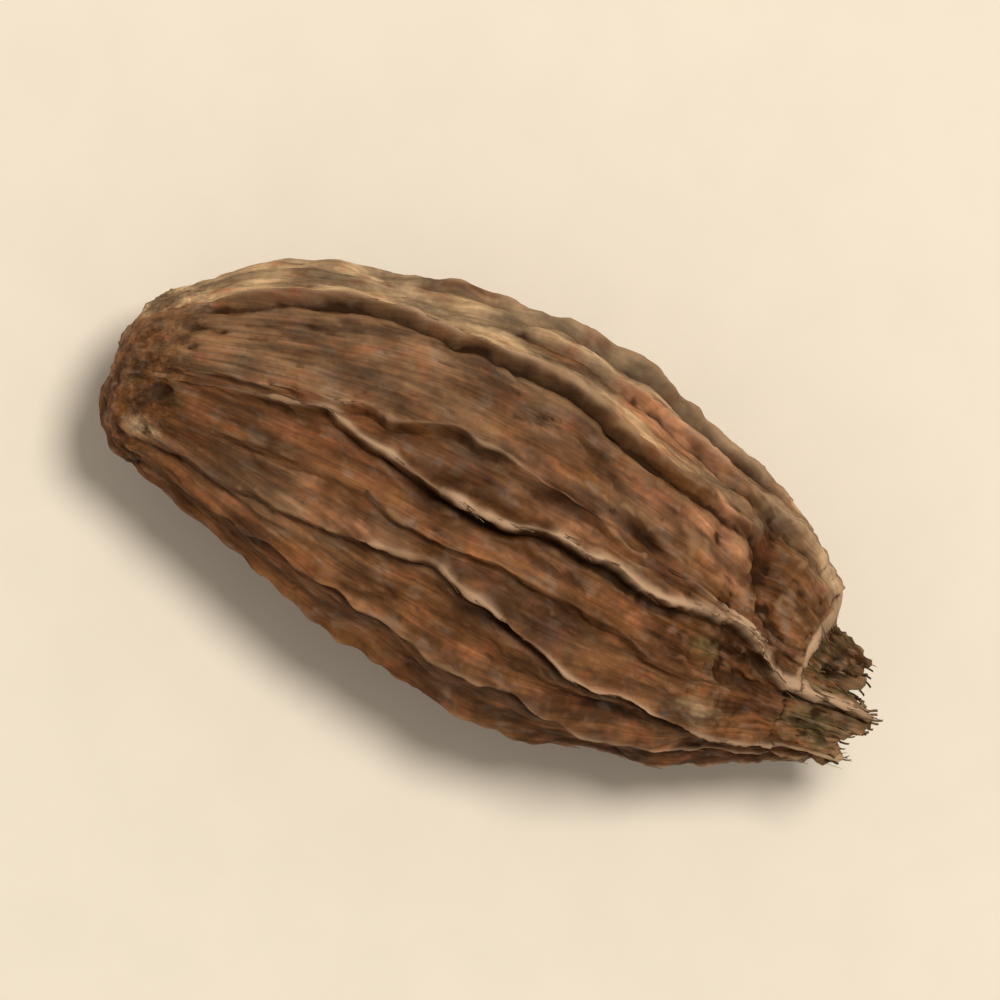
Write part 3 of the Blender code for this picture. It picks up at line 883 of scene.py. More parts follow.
@dataclass
class Husk:
    """The pod's one skin, from the scar of the stalk to the torn collar of the flower and down inside it."""

    form: PodForm = field(default_factory=PodForm)
    ribs: tuple[Rib, ...] = (*SEEN_RIBS, *HiddenRibs().ribs())
    finish: SkinFinish = SkinFinish()
    relief: SkinRelief = SkinRelief()
    crest_width: float = 0.38 * MM
    crest_round: float = 0.10 * MM
    pale_width: float = 0.20 * MM
    groove_from_crest: float = 0.42 * MM
    groove_width: float = 0.24 * MM
    furrow_from_crest: float = 0.47 * MM
    furrow_width: float = 0.36 * MM
    furrow_share: float = 1.5
    lean: float = 0.15
    ragged: float = 0.5
    ragged_size: float = 0.9 * MM
    ragged_lines: Numbers = (0.01, 0.007)
    stalk_fade: float = 0.12
    stalk_relief: float = 0.3
    swerve: float = 0.14 * MM
    swerve_waves: Numbers = (3.1, 5.7, 9.3)
    swerve_seed: int = 111
    zigzag: float = 0.22 * MM
    zigzag_size: float = 1.3 * MM
    zigzag_lines: Numbers = (0.013, 0.003)
    crumple: float = 0.4 * MM
    crumple_size: float = 3.2 * MM
    calm_at_stalk: float = 0.4
    belly_at: float = 0.54
    pressed_half_length: float = 3.0 * MM
    pressed_half_width: float = 2.4 * MM
    pressed_fade: float = 1.6
    pucker_least: float = 0.2
    pucker_from: float = 0.6
    pucker_over: float = 0.3
    pucker_even: float = 0.35
    swollen_turn: float = math.radians(50.0)
    scar_radius: float = 1.2 * MM
    scar_depth: float = 0.25 * MM
    scar_shade: float = 1.2
    scar_calm: float = 0.7
    shoulder_turn: float = math.radians(15.0)
    shoulder_spread: float = math.radians(60.0)
    shoulder_most: float = 0.32
    shoulder_least: float = 0.06
    shoulder_roll: float = 0.35 * MM
    shoulder_turns: Numbers = (0.35, 0.7, 1.05, 1.35, 1.57)
    shoulder_highlight_rows: int = 4
    shoulder_highlight: float = 0.3
    collar_wall: float = 0.36 * MM
    collar_taper: float = 0.16
    collar_lowest: float = 0.8 * MM
    collar_floor: float = 0.7 * MM
    collar_pleat: float = 0.16 * MM
    pleat_size: float = 0.3
    collar_pucker: float = 0.9
    inside_free: float = 0.5
    inside_shade: float = 0.75
    lobe_edge: float = 2.5
    lobe_tip: float = 0.5
    tear_depth: float = 0.4 * MM
    tear_size: float = 0.24
    fray_depth: float = 0.2 * MM
    fray_size: float = 0.07
    split_depth: float = 0.3 * MM
    split_size: float = 0.16
    split_width: float = 0.09
    split_place: float = 3.0
    rim_lowest: float = 0.3 * MM
    collar_outside: Numbers = (0.08, 0.17, 0.27, 0.38, 0.5, 0.62, 0.74, 0.86, 0.95)
    collar_inside: Numbers = (0.97, 0.86, 0.7, 0.5, 0.3, 0.1, 0.0)
    floor_rings: Numbers = (0.75, 0.5, 0.25)
    columns_seen: int = 36
    columns_hidden: int = 17
    crowding: float = 0.45
    rows: int = 190
    cap_rows: int = 18
    first_bend: float = 0.08
    even_rows: float = 0.55
    room_for_shreds: float = 0.35 * MM
    room_for_fibres: float = 0.06 * MM
    grain_radius: float = 6.0
    narrow_grain_to: float = 0.10
    short_grain_from: float = 22.0
    short_grain: float = 0.08
    crevice_weights: tuple[tuple[int, float], ...] = ((3, 5.0), (9, 4.5))
    crevice_most: float = 1.5
    crevice_at_ends: float = 0.5

    def columns_of(self, k: int) -> int:
        """How many columns lie between rib k and the next."""
        return self.columns_seen if k < len(SEEN_RIBS) else self.columns_hidden

    def row_places(self) -> Array:
        """Where the rows of the husk lie: evenly round the stalk end, then closer towards the flower.

        Returns:
            The place of each row along the pod.
        """
        bend = np.linspace(self.first_bend, math.pi / 2, self.cap_rows)
        cap = self.form.stalk_cap * (1 - np.cos(bend))
        step = np.linspace(0, 1, self.rows - self.cap_rows + 1)[1:]
        share = self.even_rows * step + (1 - self.even_rows) * np.sin(math.pi / 2 * step)
        return np.append(cap, cap[-1] + (self.form.body_end - cap[-1]) * share)

    def swerve_of(self, rib: int, u: Array) -> Array:
        """How far a crest wanders sideways from its smooth line, more so towards the flower end.

        Args:
            rib: Which rib it is.
            u: Where along the pod.

        Returns:
            The way to the side at each u.
        """
        draw = random.Random(self.swerve_seed + rib)
        total = 0.0
        for waves in self.swerve_waves:
            total = total + np.sin(2 * math.pi * (waves * u + draw.random())) * self.swerve_waves[0] / waves
        return self.swerve * (self.calm_at_stalk + u) * total

    def crest(self, apart: Array) -> Array:
        """The rounded section of a crest: 1 on its line, falling to 0 on both sides."""
        return np.exp((self.crest_round - np.hypot(apart, self.crest_round)) / self.crest_width)

    def patch(self, spot: Dent | StainOrShade, around: Array, theta: Array, full: Array) -> Array:
        """1 in the middle of a dent or colour patch, falling to 0 round it.

        Args:
            spot: The dent or colour patch.
            around: Where along the pod each point of the grid lies.
            theta: Its angle round the pod.
            full: How full the pod is there.

        Returns:
            The strength of the spot at each point.
        """
        along = (around - spot.at) * self.form.length / MM
        across = wrapped(theta - math.radians(spot.angle)) * self.form.half_width * full / MM
        turn = math.radians(spot.turn)
        length = (along * math.cos(turn) + across * math.sin(turn)) / spot.half_length
        width = (across * math.cos(turn) - along * math.sin(turn)) / spot.half_width
        return np.exp(-(length**2 + width**2))

    def pressed_flat(self, points: Array) -> Array:
        """1 on the spot of the belly where the ribs are pressed flat, fading to 0 round it.

        Args:
            points: The points of the grid.

        Returns:
            The share of the pressing at each point.
        """
        onward = (points[..., 0] - self.form.length * self.belly_at) / self.pressed_half_length
        aside = (points[..., 1] - self.form.axis_side(self.belly_at)) / self.pressed_half_width
        low = points[..., 2] < self.form.half_thickness / 2
        return np.clip((1 + self.pressed_fade - np.hypot(onward, aside)) / self.pressed_fade, 0, 1) * low

    def rib_lines(self, u: Array, full: Array) -> tuple[Array, list[Array]]:
        """The wandering lines of the crests.

        Args:
            u: Where the rows of the husk lie.
            full: How full the pod is at each row.

        Returns:
            The angle of each crest at each row, and how ragged it is there. The first crest closes both.
        """
        spots = np.stack([u * self.form.length, 0 * u, 0 * u], axis=-1)

        def along_each(apart: float, above: float, size: float) -> Array:
            """Noise along a line of its own for each rib."""
            return np.array([noise_at(spots + (0, apart * k, above), size) for k in range(len(self.ribs))])

        zigzags = self.zigzag * along_each(*self.zigzag_lines, self.zigzag_size)
        swerves = np.array([self.swerve_of(k, u) for k in range(len(self.ribs))]) + zigzags
        crests = np.radians([rib.line(u) for rib in self.ribs])
        crests += swerves * np.sqrt(full) / self.form.half_width
        rough = self.ragged * along_each(*self.ragged_lines, self.ragged_size)
        return np.vstack([crests, crests[:1] + 2 * math.pi]), [*rough, rough[0]]

    def ribbed_skin(self) -> Skin:
        """The grid of the husk from the scar to the foot of the collar.

        Returns:
            The grid, with its traits and the zones of its ribs.
        """
        u = self.row_places()
        full = self.form.fullness(u)
        crests, rough = self.rib_lines(u, full)
        ends = list(zip((*self.ribs, self.ribs[0]), rough))
        heights = [through_stations(rib.heights, u) * MM * (1 + uneven) for rib, uneven in ends]
        pales = [through_stations(rib.pale, u) * (1 + uneven) for rib, uneven in ends]
        angles, reliefs, leans, crest_marks, furrow_shade_marks = [], [], [], [], []
        zones = {zone: [] for zone in Zone}
        for k, rib in enumerate(self.ribs):
            s = np.arange(self.columns_of(k)) / self.columns_of(k)
            t = s - self.crowding * np.sin(2 * math.pi * s) / (2 * math.pi)
            angle = crests[k][:, None] + (crests[k + 1] - crests[k])[:, None] * t
            near = (angle - crests[k][:, None]) * self.form.half_width * full[:, None]
            far = (crests[k + 1][:, None] - angle) * self.form.half_width * full[:, None]
            groove = through_stations(rib.grooves, u)[:, None] * MM
            trough = groove * bell((near - self.groove_from_crest) / self.groove_width)
            rise = heights[k][:, None] * self.crest(near) + heights[k + 1][:, None] * self.crest(far)
            angles.append(angle)
            reliefs.append(rise - trough - rib.sag * MM * np.sin(math.pi * t))
            leans.append(self.lean * rise)
            pale_near = pales[k][:, None] * np.exp(-near / self.pale_width)
            pale_far = pales[k + 1][:, None] * np.exp(-far / self.pale_width)
            crest_marks.append(pale_near + pale_far)
            # Painted shade in the furrow at the foot of each crest, deeper where the groove is deeper
            shade = bell((near - self.furrow_from_crest) / self.furrow_width)
            furrow_shade_marks.append(shade * (self.furrow_share * groove / MM).clip(0, 1))
            share = through_stations(rib.share, u)[:, None] * np.ones_like(t)
            for zone, parts in zones.items():
                parts.append(share if zone is rib.zone else 0 * share)
        theta = np.hstack(angles)
        around = np.broadcast_to(u[:, None], theta.shape)
        girth = np.broadcast_to(full[:, None], theta.shape)
        points = self.form.core_point(around, theta)
        from_stalk = around / self.stalk_fade
        relief = np.hstack(reliefs) * girth * np.clip(from_stalk, self.stalk_relief, 1)
        crumple = self.crumple * (self.calm_at_stalk + around)
        relief = relief + crumple * noise_at(points, self.crumple_size) * girth
        hollow = sum(dent.depth * self.patch(dent, around, theta, girth) for dent in DENTS)
        relief = relief - hollow * MM
        free = 1 - self.pressed_flat(points)
        raised = (relief * free)[..., None] * outward(points)
        leaned = (np.hstack(leans) * girth * free)[..., None] * unit(sideways(points))
        swollen = self.pucker_even + (1 - self.pucker_even) * np.cos(theta - self.swollen_turn).clip(0)
        near_flower = np.clip((around - self.pucker_from) / self.pucker_over, 0, 1)
        traits = {
            Trait.CREST: np.hstack(crest_marks).clip(0, 1) * np.clip(from_stalk, 0, 1),
            Trait.FURROW: np.hstack(furrow_shade_marks) * np.clip(from_stalk, 0, 1),
            Trait.HOLLOW: hollow.clip(0),
            Trait.FREE: free,
            Trait.PUCKER: self.pucker_least + near_flower * swollen,
        }
        traits |= {zone: np.hstack(parts) for zone, parts in zones.items()}
        return Skin(points + raised + leaned, theta, around, traits)

    def sink_scar(self, skin: Skin) -> None:
        """Sinks the skin into the scar in the middle of the stalk end.

        Args:
            skin: The grid, which is changed.
        """
        grid, traits = skin.points, skin.traits
        reach = np.hypot(grid[..., 1] - self.form.axis_side(0), grid[..., 2] - self.form.axis_rise(0))
        dish = (1 - (reach / self.scar_radius).clip(0, 1) ** 2) ** 2 * (grid[..., 0] < self.form.length / 2)
        grid[..., 0] += self.scar_depth * dish
        # Painted shade: the sunken dish of the scar is darkened
        traits[DARK] = traits[DARK] + self.scar_shade * np.sqrt(dish)
        traits[Trait.FREE] = traits[Trait.FREE] * (1 - self.scar_calm * dish)

    def rim_of(self, theta: Array) -> tuple[Array, Array]:
        """The torn rim at each angle: how far it stands out past the collar's foot and how far it leans out.

        Args:
            theta: The angles.

        Returns:
            The reach and the lean at each angle.
        """
        reach = np.full_like(theta, self.collar_lowest)
        lean = np.zeros_like(theta)
        for lobe in LOBES:
            apart = wrapped(np.degrees(theta) - lobe.angle, 360.0)
            share = (1 - np.abs(apart / lobe.half_width) ** self.lobe_edge).clip(0)
            reach = np.maximum(reach, lobe.length * MM * share**self.lobe_tip)
            lean = lean + lobe.lean * MM * share
        ring = ring_at(theta)
        for depth, size in ((self.tear_depth, self.tear_size), (self.fray_depth, self.fray_size)):
            reach = reach + depth * noise_at(ring, size)
        split = (1 - np.abs(noise_at(ring + self.split_place, self.split_size)) / self.split_width).clip(0)
        return (reach - self.split_depth * split).clip(self.rim_lowest), lean

    def collar_rows(self, foot: Array, theta: Array) -> list[Array]:
        """The rows of the collar: up its outside, over the rim, down inside and to its middle.

        Args:
            foot: The last row of the husk, which the collar stands on.
            theta: The angles of its points.

        Returns:
            The points of each row.
        """
        reach, lean = self.rim_of(theta)
        end = self.form.body_end
        radial = (foot - (0, self.form.axis_side(end), self.form.axis_rise(end))) * (0, 1, 1)
        out = unit(radial)
        forward = np.array([1.0, 0.0, 0.0])
        pleat = self.collar_pleat * noise_at(ring_at(theta), self.pleat_size)
        wide = bell(wrapped(theta - self.shoulder_turn) / self.shoulder_spread)
        step = self.shoulder_least + (self.shoulder_most - self.shoulder_least) * wide
        rows = []
        for turn in self.shoulder_turns:
            onward = forward * self.shoulder_roll * math.sin(turn)
            rows.append(foot + onward - radial * (step * (1 - math.cos(turn)))[:, None])
        inner = rows[-1]

        def level(share: float) -> Array:
            """The outside of the collar at this share of its height.

            Args:
                share: 0 at its foot and 1 at its rim.

            Returns:
                The points of that row.
            """
            onward = forward * (reach * share)[:, None]
            aside = out * ((lean * share**2) + pleat * share)[:, None]
            return inner + onward + aside - radial * self.collar_taper * share

        rows += [level(share) for share in self.collar_outside]
        rows.append(level(1.0) - out * self.collar_wall / 2)
        for share in self.collar_inside:
            rows.append(level(share) - out * self.collar_wall - forward * self.collar_floor * (1 - share))
        last = rows[-1]
        heart = last.mean(axis=0)
        return rows + [heart + (last - heart) * share for share in self.floor_rings]

    def add_collar(self, skin: Skin) -> Skin:
        """Adds the collar's rows to the grid.

        Args:
            skin: The grid up to the foot of the collar.

        Returns:
            The whole grid.
        """
        extra = self.collar_rows(skin.points[-1], skin.theta[-1])

        def continued(rows: Array) -> Array:
            """These rows, with the last one again for each row of the collar."""
            return np.concatenate([rows, np.repeat(rows[-1:], len(extra), axis=0)])

        points = np.concatenate([skin.points, np.array(extra)])
        theta = continued(skin.theta)
        along = np.concatenate([skin.along, np.array([row[:, 0] for row in extra]) / self.form.length])
        traits = {trait: continued(rows) for trait, rows in skin.traits.items()}
        edge = len(skin.points) + len(self.shoulder_turns)
        inside = edge + len(self.collar_outside) + 1
        crest = traits[Trait.CREST]
        # Painted highlight: the last rows of the shoulder get a pale crest mark on the side that faces the
        # light
        lit = (self.shoulder_highlight + np.cos(theta[-1] - self.shoulder_turn)).clip(0, 1)
        crest[edge - self.shoulder_highlight_rows : edge] = np.maximum(crest[edge], lit)
        crest[inside:] = 0.0
        traits[Trait.PUCKER][edge:] = self.collar_pucker
        traits[Trait.FREE][inside:] = self.inside_free
        # Painted shade: the inside of the collar's cup is darkened
        traits[DARK][inside:] = self.inside_shade
        return Skin(points, theta, along, traits)

    def stain(self, skin: Skin) -> None:
        """Adds the stains, and the patches of painted shade, to the colour zones.

        Args:
            skin: The grid, whose zones are changed.
        """
        full = np.broadcast_to(self.form.fullness(skin.along.clip(0, self.form.body_end)), skin.theta.shape)
        for spot in STAINS_AND_SHADE:
            added = spot.strength * self.patch(spot, skin.along, skin.theta, full)
            for zone in Zone:
                kept = skin.traits[zone]
                skin.traits[zone] = np.maximum(kept, added) if zone is spot.zone else kept * (1 - added)

    def grain_places(self, skin: Skin) -> Array:
        """Where each point lies in the grain: round the pod and along it in mm, finer at both its ends.

        Args:
            skin: The whole grid.

        Returns:
            The place of each point in the grain.
        """
        aside = skin.points[..., 1] - self.form.axis_side(0)
        above = skin.points[..., 2] - self.form.axis_rise(0)
        wide = (skin.along / self.narrow_grain_to).clip(0, 1)
        radius = np.hypot(aside, above) / MM * (1 - wide) + self.grain_radius * wide
        radius[-len(self.floor_rings) :] *= np.array(self.floor_rings)[:, None]
        run = skin.along * self.form.length / MM
        run = run + self.short_grain * (run - self.short_grain_from).clip(0) ** 2
        return np.stack([radius * np.cos(skin.theta), radius * np.sin(skin.theta), run], axis=-1)

    def plain_mesh(self, skin: Skin) -> bpy.types.Mesh:
        """The closed mesh of the grid, with a point in the scar and in the collar, and its attributes.

        Args:
            skin: The whole grid.

        Returns:
            The mesh.
        """
        rows, columns = skin.theta.shape
        stalk = (self.scar_depth, self.form.axis_side(0), self.form.axis_rise(0))
        points = np.vstack([skin.points.reshape(-1, 3), [stalk], [skin.points[-1].mean(axis=0)]])
        index = np.arange(rows * columns).reshape(rows, columns)
        beside = np.roll(index, -1, axis=1)
        quads = np.stack([index[:-1], beside[:-1], beside[1:], index[1:]], axis=-1).reshape(-1, 4)
        first, last = rows * columns, rows * columns + 1
        fans = [(first, int(beside[0][c]), int(index[0][c])) for c in range(columns)]
        fans += [(last, int(index[-1][c]), int(beside[-1][c])) for c in range(columns)]
        mesh = bpy.data.meshes.new("husk")
        mesh.from_pydata(points.tolist(), [], [*quads.tolist(), *fans])
        vectors = {
            Trait.GRAIN_PLACE: self.grain_places(skin),
            Trait.OUTWARD: outward(skin.points),
            Trait.GRAIN: unit(np.gradient(skin.points, axis=0)),
        }
        for trait, values in (skin.traits | vectors).items():
            flat = values.reshape(rows * columns, -1)
            flat = np.vstack([flat, flat[:columns].mean(axis=0), flat[-columns:].mean(axis=0)])
            store(mesh, trait, flat if flat.shape[1] > 1 else flat[:, 0])
        return mesh

    def fit(self, mesh: bpy.types.Mesh) -> None:
        """Fits the husk inside the solid's box, on the ground plane, with room for fibres and shreds.

        Args:
            mesh: The husk's mesh, which is changed.
        """
        low, high = solid_box()
        low[:2] += self.room_for_fibres
        high -= (self.room_for_shreds, self.room_for_fibres, self.room_for_fibres)
        places = corners_of(mesh)
        least, most = places.min(axis=0), places.max(axis=0)
        scale = (high - low) / (most - least)
        scale[2] = high[2] / most[2]
        fitted = low + (places - least) * scale
        fitted[:, 2] = (places[:, 2] * scale[2]).clip(0)
        log.info("husk fitted by %s", np.round(scale, 4))
        move_corners(mesh, fitted)

    def mark_crevices(self, mesh: bpy.types.Mesh, rows: int, columns: int) -> None:
        """Stores how far each point lies below (above 0) or above (below 0) the skin round it.

        Args:
            mesh: The husk's mesh.
            rows: How many rows its grid has.
            columns: How many columns.
        """
        grid = corners_of(mesh)[: rows * columns].reshape(rows, columns, 3)
        normal = outward(grid)
        total = np.zeros((rows, columns))
        for reach, weight in self.crevice_weights:
            smooth = grid.copy()
            for _ in range(reach):
                smooth = (np.roll(smooth, 1, axis=1) + np.roll(smooth, -1, axis=1) + 2 * smooth) / 4
                smooth[1:-1] = (smooth[:-2] + smooth[2:] + 2 * smooth[1:-1]) / 4
            total += weight * ((smooth - grid) * normal).sum(axis=-1) / MM
        depths = total.ravel().clip(-self.crevice_most, self.crevice_most)
        store(mesh, Trait.CREVICE, np.append(depths, (self.crevice_at_ends,) * 2))

    def build(self) -> Piece:
        """Builds, dresses and fits the husk.

        Returns:
            The finished piece.
        """
        skin = self.ribbed_skin()
        self.sink_scar(skin)
        skin = self.add_collar(skin)
        self.stain(skin)
        piece = new_piece("husk", self.plain_mesh(skin))
        self.relief.tree(self.finish.material()).grow(piece)
        self.fit(piece.data)
        self.mark_crevices(piece.data, *skin.theta.shape)
        finish_mesh(piece)
        return piece


def finish_mesh(piece: Piece) -> None:
    """Turns the faces outwards, shades them smooth and reports the piece.

    Args:
        piece: The piece.
    """
    bm = bmesh.new()
    bm.from_mesh(piece.data)
    bmesh.ops.recalc_face_normals(bm, faces=bm.faces)
    open_edges = sum(not edge.is_manifold for edge in bm.edges)
    triangles = sum(len(face.verts) - 2 for face in bm.faces)
    bm.to_mesh(piece.data)
    bm.free()
    piece.data.shade_smooth()
    log.info("%s: %d triangles, %d open edges", piece.name, triangles, open_edges)


@dataclass(frozen=True)
class Blade:
    """A slim blade along +X, 1 long, tapered at its root and its tip and closed at both ends.

    Its flatness is its thickness as a share of its width, its bend how far its middle stands above its chord.
    """

    sides: int
    flatness: float
    bend: float
    steps: int = 5
    root: Numbers = (0.0, 0.25, 0.5, 1.0)
    tip: Numbers = (0.45, 1.0, 1.0, 0.12)

    def shape(self, tree: GrowthTree) -> Socket:
        """The blade at a length of 1.

        Args:
            tree: The tree that it is made in, with a thickness among its inputs.

        Returns:
            The blade's mesh.
        """
        inputs = {"Start": (0.0, 0.0, 0.0), "Middle": (0.5, 0.0, self.bend), "End": (1.0, 0.0, 0.0)}
        line = tree.node("GeometryNodeCurveQuadraticBezier", inputs | {"Resolution": self.steps})
        step = tree.node("GeometryNodeSplineParameter").outputs["Factor"]
        slim = tree.times(tree.ramp(step, *self.root), tree.ramp(step, *self.tip))
        tapered = tree.node("GeometryNodeSetCurveRadius", {"Curve": line.outputs[0], "Radius": slim})
        inputs = {"Resolution": self.sides, "Radius": tree.given["Thickness"]}
        ring = tree.node("GeometryNodeCurvePrimitiveCircle", inputs)
        inputs = {"Geometry": ring.outputs[0], "Scale": (1.0, self.flatness, 1.0)}
        flat = tree.node("GeometryNodeTransform", inputs)
        inputs = {"Curve": tapered.outputs[0], "Profile Curve": flat.outputs[0], "Fill Caps": True}
        return tree.node("GeometryNodeCurveToMesh", inputs).outputs[0]


@dataclass
class Strands:
    """Blades of dry plant fibre on the husk, each with its own length, tone and turn; turns in radians."""

    name: str
    length: float
    thickness: float
    finish: FibreFinish
    seed: int
    blade: Blade
    least_turn: Numbers
    most_turn: Numbers
    lengths: Numbers = (0.45, 1.25)
    turn_salt: int = 20
    length_salt: int = 31
    tone_salt: int = 32

    def started(self, name: str, more: dict[str, float]) -> GrowthTree:
        """A tree with the inputs that all strands have, and more."""
        sizes = {"Length": self.length, "Thickness": self.thickness} | more
        return GrowthTree(name, sizes | {"Seed": self.seed, "Finish": self.finish.material()})

    def plant(self, tree: GrowthTree, points: Socket, up: Socket) -> None:
        """Sets a blade at each point, and ends the tree.

        Args:
            tree: The tree.
            points: The places of the blades, on a mesh that carries its grain.
            up: The direction that the broad side of each faces.
        """
        along = {"Vector": tree.direction(Trait.GRAIN)}
        laid = tree.node("FunctionNodeAlignRotationToVector", along, axis="X").outputs[0]
        inputs = {"Rotation": laid, "Vector": up}
        upright = tree.node("FunctionNodeAlignRotationToVector", inputs, axis="Z", pivot_axis="X").outputs[0]
        turns = enumerate(zip(self.least_turn, self.most_turn))
        parts = {axis: tree.chance(*ends, self.turn_salt + axis) for axis, ends in turns}
        euler = tree.node("ShaderNodeCombineXYZ", parts).outputs[0]
        extra = tree.node("FunctionNodeEulerToRotation", {0: euler}).outputs[0]
        inputs = {0: upright, 1: extra}
        turn = tree.node("FunctionNodeRotateRotation", inputs, rotation_space="LOCAL").outputs[0]
        length = tree.times(tree.given["Length"], tree.chance(*self.lengths, self.length_salt))
        scale = tree.node("ShaderNodeCombineXYZ", {0: length, 1: 1.0, 2: length}).outputs[0]
        inputs = {"Points": points, "Instance": self.blade.shape(tree), "Rotation": turn, "Scale": scale}
        placed = tree.node("GeometryNodeInstanceOnPoints", inputs).outputs[0]
        tone = tree.chance(0.0, 1.0, self.tone_salt)
        inputs = {"Geometry": placed, "Name": Trait.TONE.value, "Value": tone}
        toned = tree.node("GeometryNodeStoreNamedAttribute", inputs, data_type="FLOAT", domain="INSTANCE")
        tree.end(toned.outputs[0])

    def grown(self, mesh: bpy.types.Mesh, tree: GrowthTree) -> Piece:
        """Grows the strands, and keeps them inside the solid's box.

        Args:
            mesh: What the tree starts from.
            tree: The ended tree.

        Returns:
            The finished piece.
        """
        piece = new_piece(self.name, mesh)
        tree.grow(piece)
        move_corners(piece.data, corners_of(piece.data).clip(*solid_box()))
        finish_mesh(piece)
        return piece


@dataclass
class Fibres(Strands):
    """Loose fibres that lie along the crests."""

    name: str = "fibres"
    length: float = 0.8 * MM
    thickness: float = 0.022 * MM
    finish: FibreFinish = FibreFinish("loose_fibre")
    seed: int = 3
    blade: Blade = Blade(3, 1.0, 0.06)
    least_turn: Numbers = (-0.4, -0.05, -0.12)
    most_turn: Numbers = (0.4, 0.01, 0.12)
    density: float = 0.9e7
    crest_edge: Numbers = (0.3, 0.9)

    def build(self, husk: Piece) -> Piece:
        """Lays the fibres on the finished husk.

        Args:
            husk: The finished husk.

        Returns:
            The finished piece.
        """
        tree = self.started("loose_fibres", {"Density": self.density})
        wanted = tree.times(tree.ramp(tree.trait(Trait.CREST), *self.crest_edge), tree.trait(Trait.FREE))
        density = tree.times(wanted, tree.given["Density"])
        inputs = {"Mesh": tree.given["Geometry"], "Density": density, "Seed": tree.given["Seed"]}
        spread = tree.node("GeometryNodeDistributePointsOnFaces", inputs, distribute_method="RANDOM")
        self.plant(tree, spread.outputs["Points"], spread.outputs["Normal"])
        return self.grown(husk.data.copy(), tree)


@dataclass
class RimShreds(Strands):
    """Torn shreds of the withered flower, round the rim of the collar."""

    name: str = "rim_shreds"
    length: float = 0.38 * MM
    thickness: float = 0.05 * MM
    finish: FibreFinish = FibreFinish("flower_shred", (0.270, 0.165, 0.075, 1.0), (0.110, 0.062, 0.026, 1.0))
    seed: int = 8
    blade: Blade = Blade(4, 0.35, 0.15)
    least_turn: Numbers = (-0.5, -0.35, -0.5)
    most_turn: Numbers = (0.5, 0.35, 0.5)
    count: float = 90.0
    rows_below: int = 3
    onward: float = 0.5

    def rim(self, husk: Piece, row: int, columns: int) -> bpy.types.Mesh:
        """The rim's line, with the direction that each place of it faces.

        Args:
            husk: The finished husk.
            row: Which row of its grid the rim is.
            columns: How many columns the grid has.

        Returns:
            The closed line as a mesh.
        """
        places = corners_of(husk.data)
        ring, below = (places[k * columns : (k + 1) * columns] for k in (row, row - self.rows_below))
        mesh = bpy.data.meshes.new("rim")
        mesh.from_pydata(ring.tolist(), [(c, (c + 1) % columns) for c in range(columns)], [])
        store(mesh, Trait.GRAIN, unit(unit(ring - below) + (self.onward, 0.0, 0.0)))
        store(mesh, Trait.OUTWARD, unit((ring - ring.mean(axis=0)) * (0, 1, 1)))
        return mesh

    def build(self, husk: Piece, row: int, columns: int) -> Piece:
        """Sets the shreds on the rim of the finished husk.

        Args:
            husk: The finished husk.
            row: Which row of its grid the rim is.
            columns: How many columns it has.

        Returns:
            The finished piece.
        """
        tree = self.started("rim_shreds", {"Count": self.count})
        line = tree.node("GeometryNodeMeshToCurve", {0: tree.given["Geometry"]}).outputs[0]
        inputs = {"Curve": line, "Count": tree.given["Count"]}
        points = tree.node("GeometryNodeCurveToPoints", inputs, mode="COUNT")
        self.plant(tree, points.outputs["Points"], tree.direction(Trait.OUTWARD))
        return self.grown(self.rim(husk, row, columns), tree)


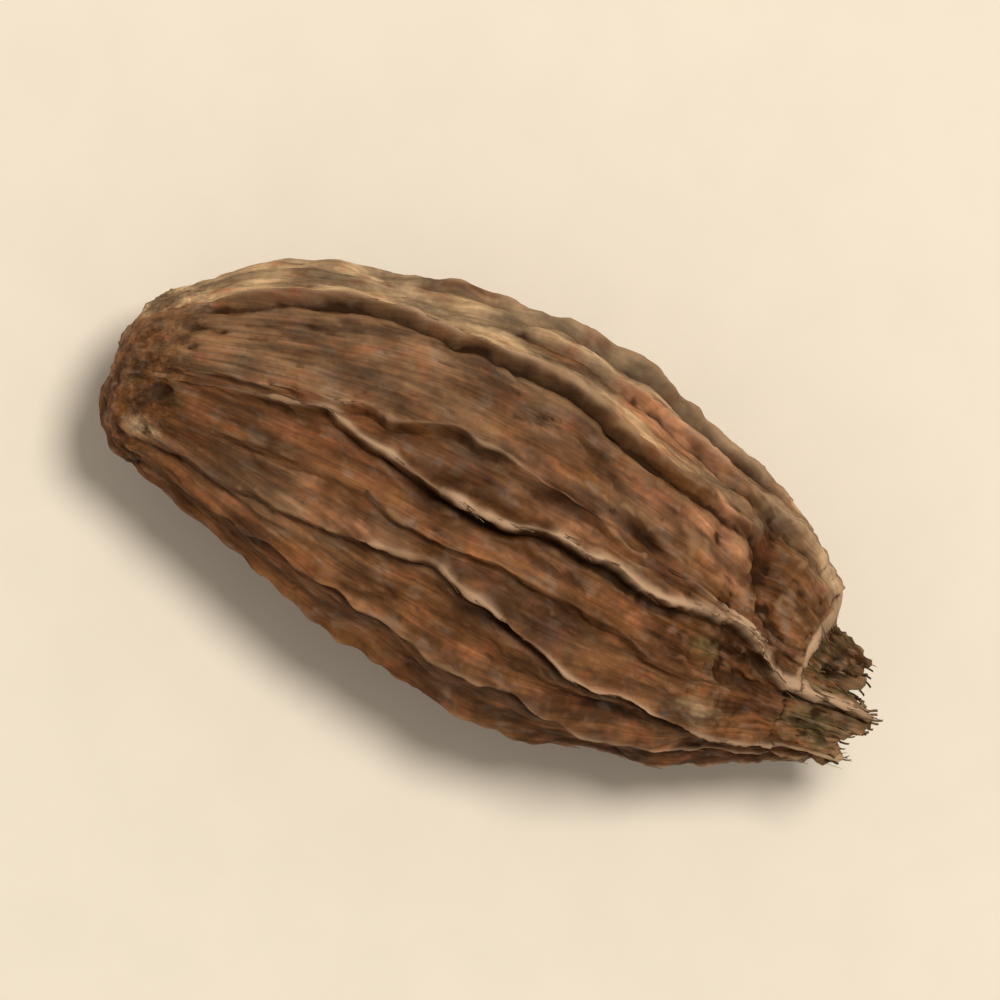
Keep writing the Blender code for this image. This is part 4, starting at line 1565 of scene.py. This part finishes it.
@dataclass
class Studio:
    """The pale floor, the soft light and the camera over the pod."""

    floor_size: float = 1.2
    floor_colour: tuple[float, float, float] = (0.86, 0.74, 0.575)
    floor_mottle: Numbers = (3.0, 3.0, 7.0)
    floor_faint: Numbers = (0.3, 0.7, 0.975, 1.0)
    floor_roughness: float = 0.9
    floor_gloss: float = 0.5
    camera_height: float = 0.6
    camera_sensor: float = 36.0
    camera_nearest: float = 0.01
    outline_height: float = 6.0 * MM
    view_width: float = 37.5 * MM
    aim: tuple[float, float] = (-0.42 * MM, 0.43 * MM)
    picture_turn: float = math.radians(22.2)
    key_turn: float = math.radians(48.0)
    key_rise: float = math.radians(70.0)
    key_distance: float = 0.55
    key_size: float = 0.16
    key_power: float = 2.30
    sky_colour: Colour = (1.0, 0.99, 0.975, 1.0)
    sky_strength: float = 0.37

    def floor(self) -> None:
        """A pale floor with a faint unevenness."""
        half = self.floor_size / 2
        mesh = bpy.data.meshes.new("floor")
        corners = [(-half, -half, 0.0), (half, -half, 0.0), (half, half, 0.0), (-half, half, 0.0)]
        mesh.from_pydata(corners, [], [(0, 1, 2, 3)])
        paint = Paint("pale_floor")
        faint = paint.ramp(paint.mottle(paint.place(), *self.floor_mottle).outputs[0], *self.floor_faint)
        colour = paint.scaled(self.floor_colour, faint)
        mesh.materials.append(paint.finished(colour, self.floor_roughness, self.floor_gloss))
        floor = new_piece("floor", mesh)

    def lights(self) -> None:
        """One soft light from the picture's upper right, and a pale sky."""
        turn = self.picture_turn + math.pi / 2 - self.key_turn
        flat = math.cos(self.key_rise)
        towards = Vector((math.cos(turn) * flat, math.sin(turn) * flat, math.sin(self.key_rise)))
        lamp = bpy.data.lights.new("key", "AREA")
        lamp.shape = "DISK"
        lamp.size = self.key_size
        lamp.energy = self.key_power
        light = bpy.data.objects.new("key", lamp)
        light.location = towards * self.key_distance
        light.rotation_euler = towards.to_track_quat("Z", "Y").to_euler()
        bpy.context.scene.collection.objects.link(light)
        world = bpy.data.worlds.new("sky")
        world.use_nodes = True
        sky = world.node_tree.nodes["Background"]
        sky.inputs["Color"].default_value = self.sky_colour
        sky.inputs["Strength"].default_value = self.sky_strength
        bpy.context.scene.world = world

    def camera(self) -> None:
        """The camera looks straight down, turned as the pod lies in the picture."""
        data = bpy.data.cameras.new("camera")
        data.sensor_width = self.camera_sensor
        data.lens = data.sensor_width * self.camera_height / self.view_width
        data.clip_start = self.camera_nearest
        camera = bpy.data.objects.new("camera", data)
        camera.location = (*self.aim, self.outline_height + self.camera_height)
        camera.rotation_euler = (0.0, 0.0, self.picture_turn)
        bpy.context.scene.collection.objects.link(camera)
        bpy.context.scene.camera = camera

    def build(self) -> None:
        """Sets up the floor, the lights and the camera."""
        self.floor()
        self.lights()
        self.camera()
        bpy.context.scene.view_settings.view_transform = "Standard"
        log.info("studio: floor, light and camera")


def main() -> None:
    """Builds the pod and the studio."""
    logging.basicConfig(level=logging.INFO, format="%(name)s: %(message)s")
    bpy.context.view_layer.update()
    shape = Husk()
    husk = shape.build()
    rim_row = shape.rows + len(shape.shoulder_turns) + len(shape.collar_outside)
    columns = sum(shape.columns_of(k) for k in range(len(shape.ribs)))
    fibres = Fibres().build(husk)
    shreds = RimShreds().build(husk, rim_row, columns)
    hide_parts(SOLID)
    for piece in (husk, fibres, shreds):
        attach(piece, BODY)
    Studio().build()


if __name__ == "__main__":
    main()
